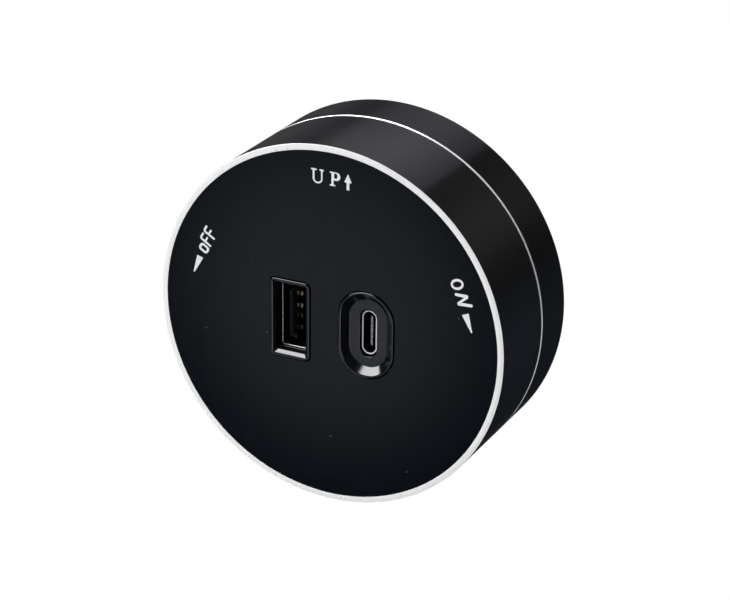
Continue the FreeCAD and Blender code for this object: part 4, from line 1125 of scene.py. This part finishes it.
@dataclass
class TrackMount:
    """What turns in the track and what sits against it. Sizes in millimetres."""

    shop: Workshop
    skirt: float = 1.7
    disc: float = 2.6
    cup_edge: float = 0.12
    bore: float = 10.0
    recess: float = 12.0
    recess_depth: float = 1.3
    lug_place: float = 25.0
    lug: Triple = (8.0, 9.6, 1.2)
    lug_root: float = 0.5
    lug_chamfer: float = 0.4
    lug_edge: float = 0.15
    ring_bore: float = 9.35
    ring_edge: float = 0.08
    ring_split: Triple = (4.0, 3.0, 5.6)
    head_radius: float = 13.0
    head_width: float = 9.4
    head_depth: float = 3.7
    head_edge: float = 0.2
    sliver: float = 0.15
    neck: float = 4.75
    neck_edge: float = 0.15
    notch_depth: float = 0.5
    cap_chamfer: float = 0.6
    cap_edge: float = 0.08
    strip: float = 3.0
    strip_thickness: float = 0.8
    pad_length: float = 2.8
    strip_gap: float = 0.1
    strip_edge: float = 0.12
    screw_x: float = 8.4
    screw_z: float = 2.9
    screw_head: float = 1.7
    screw_head_height: float = 1.2
    screw_dome: float = 0.35
    screw_play: float = 0.05
    shank: float = 0.95
    shank_overlap: float = 0.1
    cross: Triple = (1.9, 0.9, 0.42)
    cross_depth: float = 0.2
    cross_turns: Point = (25, 115)

    def build(self) -> None:
        """Build every piece of the mount."""
        self.base_cup()
        self.retaining_ring()
        self.contact_head()
        self.head_cap()
        self.contacts()
        self.screws()

    def base_cup(self) -> None:
        """Moulded disc and skirt with the guide lugs."""
        low, high = box_mm("base_cup")
        outer = high.x
        inner = outer - self.skirt
        shape = Shape().lathe([
            (self.bore, -self.disc), (inner, -self.disc), (inner, low.y), (outer, low.y), (outer, 0),
            (self.recess, 0), (self.recess, -self.recess_depth), (self.bore, -self.recess_depth)])
        length, width, corner = self.lug
        for side in (1, -1):
            lug = Shape()
            inset = 2 * self.lug_chamfer
            sections = [(length, width, corner, -self.lug_root), (length, width, corner, high.y - self.lug_chamfer),
                        (length - inset, width - inset, corner - self.lug_chamfer, high.y)]
            lug.loft([lug.loop(side * self.lug_place, *sizes, y, steps=12) for *sizes, y in sections], closed=False)
            lug.soften(self.lug_edge, segments=2, low=high.y - NEAR, sharper_than=20)
            shape.cut(lug, "UNION")
        shape.soften(self.cup_edge, segments=2, low=-self.recess_depth - NEAR, high=NEAR, sharper_than=50)
        self.shop.add(shape, "base_moulding", "matt black moulding", Slot.MOULDING, "base_cup", section=Section.BASE)

    def retaining_ring(self) -> None:
        """Split ring around the spindle."""
        low, high = box_mm("retaining_ring")
        shape = Shape().lathe(
            [(self.ring_bore, low.y), (high.x, low.y), (high.x, high.y), (self.ring_bore, high.y)], steps=128)
        shape.soften(self.ring_edge)
        shape.cut(Shape().box((0, (low.y + high.y) / 2, -high.x), self.ring_split))
        self.shop.add(shape, "ring_retaining", "spring steel", Slot.SPRING, "retaining_ring")

    def bar(self, start: float, end: float) -> Shape:
        """Key-shaped bar whose ends are rounded about the axis.

        Args:
            start: its lowest Y.
            end: its highest Y.

        Returns:
            The shape.
        """
        shape = Shape().rod(0, 0, self.head_radius, start, end, steps=256)
        for side in (1, -1):
            cut = bmesh.ops.bisect_plane(
                shape.bm, geom=shape.bm.verts[:] + shape.bm.edges[:] + shape.bm.faces[:], clear_outer=True,
                plane_co=(0, 0, side * self.head_width / 2), plane_no=(0, 0, side))
            rim = [part for part in cut["geom_cut"] if isinstance(part, bmesh.types.BMEdge)]
            bmesh.ops.edgeloop_fill(shape.bm, edges=rim)
        bmesh.ops.remove_doubles(shape.bm, verts=shape.bm.verts, dist=self.sliver)
        return shape.tidy()

    def contact_head(self) -> None:
        """Bar on its neck, notched at both ends for the contact pads."""
        low, high = box_mm("contact_head")
        shape = self.bar(high.y - self.head_depth, high.y)
        shape.soften(self.head_edge, segments=3, high=high.y - self.head_depth + NEAR)
        neck = Shape().rod(0, 0, self.neck, low.y, high.y - OVERSHOOT, steps=128)
        neck.soften(self.neck_edge, segments=2, high=low.y + NEAR)
        shape.cut(neck, "UNION")
        for side in (1, -1):
            notch = Shape().box((side * self.head_radius, high.y - self.pad_length / 2, 0),
                                (2 * self.notch_depth, self.pad_length + 2 * self.strip_gap,
                                 self.strip + 2 * self.strip_gap))
            shape.cut(notch)
        self.shop.add(shape, "head_contact", "matt black moulding", Slot.MOULDING, "contact_head")

    def head_cap(self) -> None:
        """Lid of the head, chamfered, with a seat for each screw."""
        low, high = box_mm("head_cap")
        shape = self.bar(low.y, high.y)
        shape.soften(self.cap_chamfer, segments=1, low=high.y - NEAR)
        shape.soften(self.cap_edge, segments=2, low=low.y + NEAR, sharper_than=25)
        for x, z in self.screw_places():
            shape.cut(Shape().rod(x, z, self.screw_head + self.screw_play,
                                  high.y - self.screw_head_height - self.screw_play, high.y + OVERSHOOT))
        self.shop.add(shape, "cap_head", "matt black moulding", Slot.MOULDING, "head_cap")

    def screw_places(self) -> list[Point]:
        """Where the two cap screws stand."""
        return [(self.screw_x, -self.screw_z), (-self.screw_x, self.screw_z)]

    def contacts(self) -> None:
        """Brass strips whose pads show at the ends of the head."""
        for side, node, name in ((1, "live_contact", "strip_live"), (-1, "neutral_contact", "strip_neutral")):
            low, high = box_mm(node)
            tip = side * max(abs(low.x), abs(high.x))
            root = side * min(abs(low.x), abs(high.x))
            bend, foot = tip - side * self.strip_thickness, high.y - self.strip_thickness
            blade = root + side * self.strip_thickness
            corners = [(root, low.y), (root, high.y), (tip, high.y), (tip, high.y - self.pad_length),
                       (bend, high.y - self.pad_length), (bend, foot), (blade, foot), (blade, low.y)]
            shape = Shape()
            face = shape.bm.faces.new([shape.bm.verts.new((x, y, -self.strip / 2)) for x, y in corners])
            shape.pulled([face], (0, 0, self.strip)).soften(self.strip_edge, segments=3)
            self.shop.add(shape, name, "brass strip", Slot.BRASS, node)

    def screws(self) -> None:
        """Two pan-head screws with cross recesses in the lid."""
        low, high = box_mm("cap_screws")
        top = high.y
        shape = Shape()
        for x, z in self.screw_places():
            shape.rod(x, z, self.screw_head, top - self.screw_head_height, top, steps=48)
            shape.rod(x, z, self.shank, low.y, top - self.screw_head_height + self.shank_overlap, steps=32)
        shape.tidy().soften(self.screw_dome, segments=4, low=top - NEAR)
        for x, z in self.screw_places():
            for turned in self.cross_turns:
                slot = Shape().box((0, 0, 0), self.cross)
                turn = (Matrix.Translation((x, top - self.cross_depth, z))
                        @ Matrix.Rotation(math.radians(turned), 4, "Y"))
                bmesh.ops.transform(slot.bm, matrix=turn, verts=slot.bm.verts)
                shape.cut(slot)
        self.shop.add(shape, "screws_cap", "zinc screw", Slot.SCREW, "cap_screws")


@dataclass
class Internals:
    """Sealed pieces that stay as CAD nodes and get their finish here."""

    shop: Workshop

    def build(self) -> None:
        """Dress every node."""
        for node, finish in {
            "front_shell": "matt black moulding", "rear_cover": "matt black moulding", "stop_pin": "zinc screw",
            # usb_c_contacts take a dark gold: painted shade deep in the port.
            "friction_washer": "spring steel", "usb_c_contacts": "shaded gold", "port_board": "board lacquer",
            "main_board": "board lacquer", "port_board_screws": "zinc screw", "board_screws": "zinc screw",
            "cover_screws": "zinc screw", "head_screws": "zinc screw", "board_pins": "brass strip",
            "pin_strip": "component epoxy", "transformer_core": "ferrite", "transformer_winding": "winding tape",
            "bulk_capacitors": "capacitor sleeve", "output_capacitors": "capacitor sleeve",
            "input_choke": "ferrite", "bridge_rectifier": "component epoxy", "fuse": "fuse ceramic",
            "control_chips": "component epoxy",
        }.items():
            self.shop.dress(node, finish)


@dataclass(frozen=True)
class Softbox:
    """One soft box as the module sees it: the directions between two corners, and how far its edges fade."""

    name: str
    low: Triple
    high: Triple
    edge: Triple
    strength: float


@dataclass
class Studio:
    """Pale floor, soft lights and the camera at the photograph's angle."""

    focal: float = 123.78
    sensor: float = 36.0
    clip_start: float = 0.01
    turn: float = 26.5527
    lift: float = 23.3692
    roll: float = 0.6167
    place: Triple = (0.19823, -0.40989, 0.19125)
    floor_level: float = -0.6
    floor_radius: float = 12.0
    floor_tone: float = 0.6
    floor_roughness: float = 0.9
    ring_colour: Colour = (0.98, 0.98, 1.0)
    ring_cool: Colour = (0.76, 0.92, 1.2)
    ring_dusk: Colour = (0.97, 0.96, 1.08)
    cool_arc: Point = (-110, -10)
    dusk_from: float = 70
    ring_depth: Point = (0.62, 0.74)
    ring_share: Point = (0.12, 1.0)
    ring_steps: tuple[Point, ...] = (
        (-180, 0.098), (-172, 0.083), (-102, 0.016), (-82, 0.027), (-62, 0.042), (-42, 0.068), (-22, 0.067),
        (-2, 0.045), (8, 0.072), (18, 0.11), (28, 0.17), (42, 0.176), (58, 0.113), (70, 0.09), (73.5, 0.09),
        (74.5, 0.30), (88, 0.48), (98, 0.53), (108, 0.51), (118, 0.356), (128, 0.25), (138, 0.16), (148, 0.036),
        (158, 0.060), (168, 0.086), (178, 0.1))
    card_way: Triple = (-0.5230, -1.0, -0.4860)
    card_full: float = 0.040
    card_end: float = 0.1085
    card_strength: float = 0.31
    card_colour: Colour = (0.95, 1.0, 1.08)
    boxes: tuple[Softbox, ...] = (
        Softbox("overhead", (-0.84, -0.56, 0.37), (-0.28, 0.58, 1.0), (0.28, 0.28, 0.12), 5.2),
        Softbox("overhead, right edge", (-0.28, -0.2, 0.50), (0.02, 0.58, 1.0), (0.02, 0.2, 0.06), 4.0),
        Softbox("low, front right", (0.10, -1.0, -0.60), (0.46, -0.76, -0.05), (0.08, 0.05, 0.1), 0.9),
        Softbox("low, front left", (-0.95, -0.50, -0.65), (-0.75, -0.12, -0.10), (0.1, 0.1, 0.1), 0.12),
        Softbox("low, left", (-0.90, -0.20, -0.95), (-0.45, 0.30, -0.50), (0.1, 0.1, 0.1), 1.0),
        Softbox("behind", (-0.22, 0.93, -0.22), (0.22, 1.0, 0.22), (0.06, 0.01, 0.06), 1.2),
    )

    def build(self) -> None:
        """Set up the whole studio."""
        bpy.context.scene.view_settings.view_transform = "Standard"
        self.camera()
        self.floor()
        self.surroundings()

    def camera(self) -> None:
        """Camera at the photograph's angle and distance."""
        lens = bpy.data.cameras.new("camera")
        lens.lens = self.focal
        lens.sensor_width = self.sensor
        lens.clip_start = self.clip_start
        camera = bpy.data.objects.new("camera", lens)
        bpy.context.scene.collection.objects.link(camera)
        camera.matrix_world = (
            Matrix.Translation(self.place) @ Matrix.Rotation(math.radians(self.turn), 4, "Z")
            @ Matrix.Rotation(math.radians(90 - self.lift), 4, "X") @ Matrix.Rotation(math.radians(self.roll), 4, "Z"))
        bpy.context.scene.camera = camera

    def floor(self) -> None:
        """Wide pale floor, well below the module, that the camera sees as white."""
        bm = bmesh.new()
        bmesh.ops.create_circle(bm, cap_ends=True, radius=self.floor_radius, segments=64,
                                matrix=Matrix.Translation((0, 0, self.floor_level)))
        mesh = bpy.data.meshes.new("floor")
        bm.to_mesh(mesh)
        bm.free()
        floor = bpy.data.objects.new("floor", mesh)
        bpy.context.scene.collection.objects.link(floor)
        material = bpy.data.materials.new("pale floor")
        material.use_nodes = True
        tree = material.node_tree
        shader = tree.nodes["Principled BSDF"]
        shader.inputs["Base Color"].default_value = (*(self.floor_tone,) * 3, 1)
        shader.inputs["Roughness"].default_value = self.floor_roughness
        white = tree.nodes.new("ShaderNodeEmission")
        self.show(tree, shader.outputs[0], white.outputs[0], "Material Output")
        mesh.materials.append(material)
        floor.visible_glossy = False

    @staticmethod
    def show(tree: Tree, real: Socket, white: Socket, output: str) -> None:
        """Show the camera white, and everything else the real shader.

        Args:
            tree: the nodes of the floor or the world.
            real: the real shader.
            white: the white one.
            output: name of the output node.
        """
        seen = tree.nodes.new("ShaderNodeLightPath").outputs["Is Camera Ray"]
        mix = wired(tree, "MixShader", {"Fac": seen, 1: real, 2: white})
        tree.links.new(mix.outputs[0], tree.nodes[output].inputs["Surface"])

    def surroundings(self) -> None:
        """White behind the module for the camera, soft boxes in a dark room for everything else."""
        world = bpy.data.worlds.new("studio")
        bpy.context.scene.world = world
        world.use_nodes = True
        tree = world.node_tree
        way = tree.nodes.new("ShaderNodeTexCoord").outputs["Generated"]
        light = vectors(tree, "ADD", self.ring(tree, way), self.card(tree, way))
        group = self.window_group()
        for box in self.boxes:
            window = wired(tree, "Group", {"Direction": way, "Low": box.low, "High": box.high, "Edge": box.edge},
                           node_tree=group, label=box.name)
            colour = (box.strength,) * 3
            light = vectors(tree, "ADD", light, scaled(tree, colour, window.outputs["Mask"]))
        room = tree.nodes["Background"]
        tree.links.new(light, room.inputs["Color"])
        white = wired(tree, "Background", {"Color": (1, 1, 1, 1)})
        self.show(tree, room.outputs[0], white.outputs[0], "World Output")

    @staticmethod
    def window_group() -> Tree:
        """Mask of the directions between two corners, with soft edges.

        Returns:
            The node group.
        """
        group, given, out = started_group("soft box", dict.fromkeys(("Direction", "Low", "High", "Edge")), ("Mask",))
        # The vector sockets of Map Range share their names with its number sockets, so they go by number.
        vector, from_min, from_max, to_min, to_max = range(6, 11)
        masks = []
        for operation, corner, rises in (("SUBTRACT", "Low", True), ("ADD", "High", False)):
            ends = [vectors(group, operation, given[corner], given["Edge"]), given[corner]]
            if not rises:
                ends.reverse()
            masks.append(wired(group, "MapRange", {
                vector: given["Direction"], from_min: ends[0], from_max: ends[1], to_min: (float(not rises),) * 3,
                to_max: (float(rises),) * 3}, data_type="FLOAT_VECTOR",
                interpolation_type="SMOOTHSTEP").outputs["Vector"])
        parts = wired(group, "SeparateXYZ", {0: vectors(group, "MULTIPLY", *masks)}).outputs
        flat = maths(group, "MULTIPLY", parts["X"], parts["Y"])
        group.links.new(maths(group, "MULTIPLY", flat, parts["Z"]), out["Mask"])
        return group

    def card(self, tree: Tree, way: Socket) -> Socket:
        """Round dim card in front, low on the left, that the glossy panel mirrors.

        Args:
            tree: the world's nodes.
            way: the direction.

        Returns:
            The light's colour socket.
        """
        depth = maths(tree, "ABSOLUTE", wired(tree, "SeparateXYZ", {0: way}).outputs["Y"])
        flat = scaled(tree, way, maths(tree, "DIVIDE", 1.0, depth))
        reach = wired(tree, "VectorMath", {0: flat, 1: self.card_way}, operation="DISTANCE").outputs["Value"]
        fade = faded(tree, reach, (self.card_full, self.card_end), (1.0, 0.0))
        return scaled(tree, tuple(self.card_strength * part for part in self.card_colour), fade)

    def ring(self, tree: Tree, way: Socket) -> Socket:
        """Ring of dim light behind the module, whose strength changes round the turning axis.

        Args:
            tree: the world's nodes.
            way: the direction.

        Returns:
            The light's colour socket.
        """
        parts = wired(tree, "SeparateXYZ", {0: way}).outputs
        angle = maths(tree, "ARCTAN2", parts["Z"], parts["X"])
        turn = wired(tree, "MapRange", {"Value": angle, "From Min": -math.pi, "From Max": math.pi}).outputs["Result"]
        lamp = wired(tree, "ValToRGB", {"Fac": turn})
        elements = lamp.color_ramp.elements
        while len(elements) < len(self.ring_steps):
            elements.new(0.5)
        for element, (degrees, strength) in zip(elements, self.ring_steps):
            element.position = (degrees + 180) / 360
            element.color = (*(strength * part for part in self.ring_tint(degrees)), 1.0)
        depth = faded(tree, parts["Y"], self.ring_depth, self.ring_share)
        return scaled(tree, lamp.outputs["Color"], depth)

    def ring_tint(self, degrees: float) -> Colour:
        """Colour of the ring's light at an angle round the axis.

        Args:
            degrees: the angle, counted from +X towards +Z.

        Returns:
            The colour.
        """
        if self.cool_arc[0] < degrees < self.cool_arc[1]:
            return self.ring_cool
        return self.ring_dusk if degrees > self.dusk_from else self.ring_colour


def main() -> None:
    """Build the module and its studio."""
    logging.basicConfig(level=logging.INFO, format="%(message)s")
    shop = Workshop()
    for assembly in (Housing(shop), PortA(shop), PortC(shop), FaceMarks(shop), TrackMount(shop), Internals(shop),
                     Studio()):
        assembly.build()


if __name__ == "__main__":
    main()
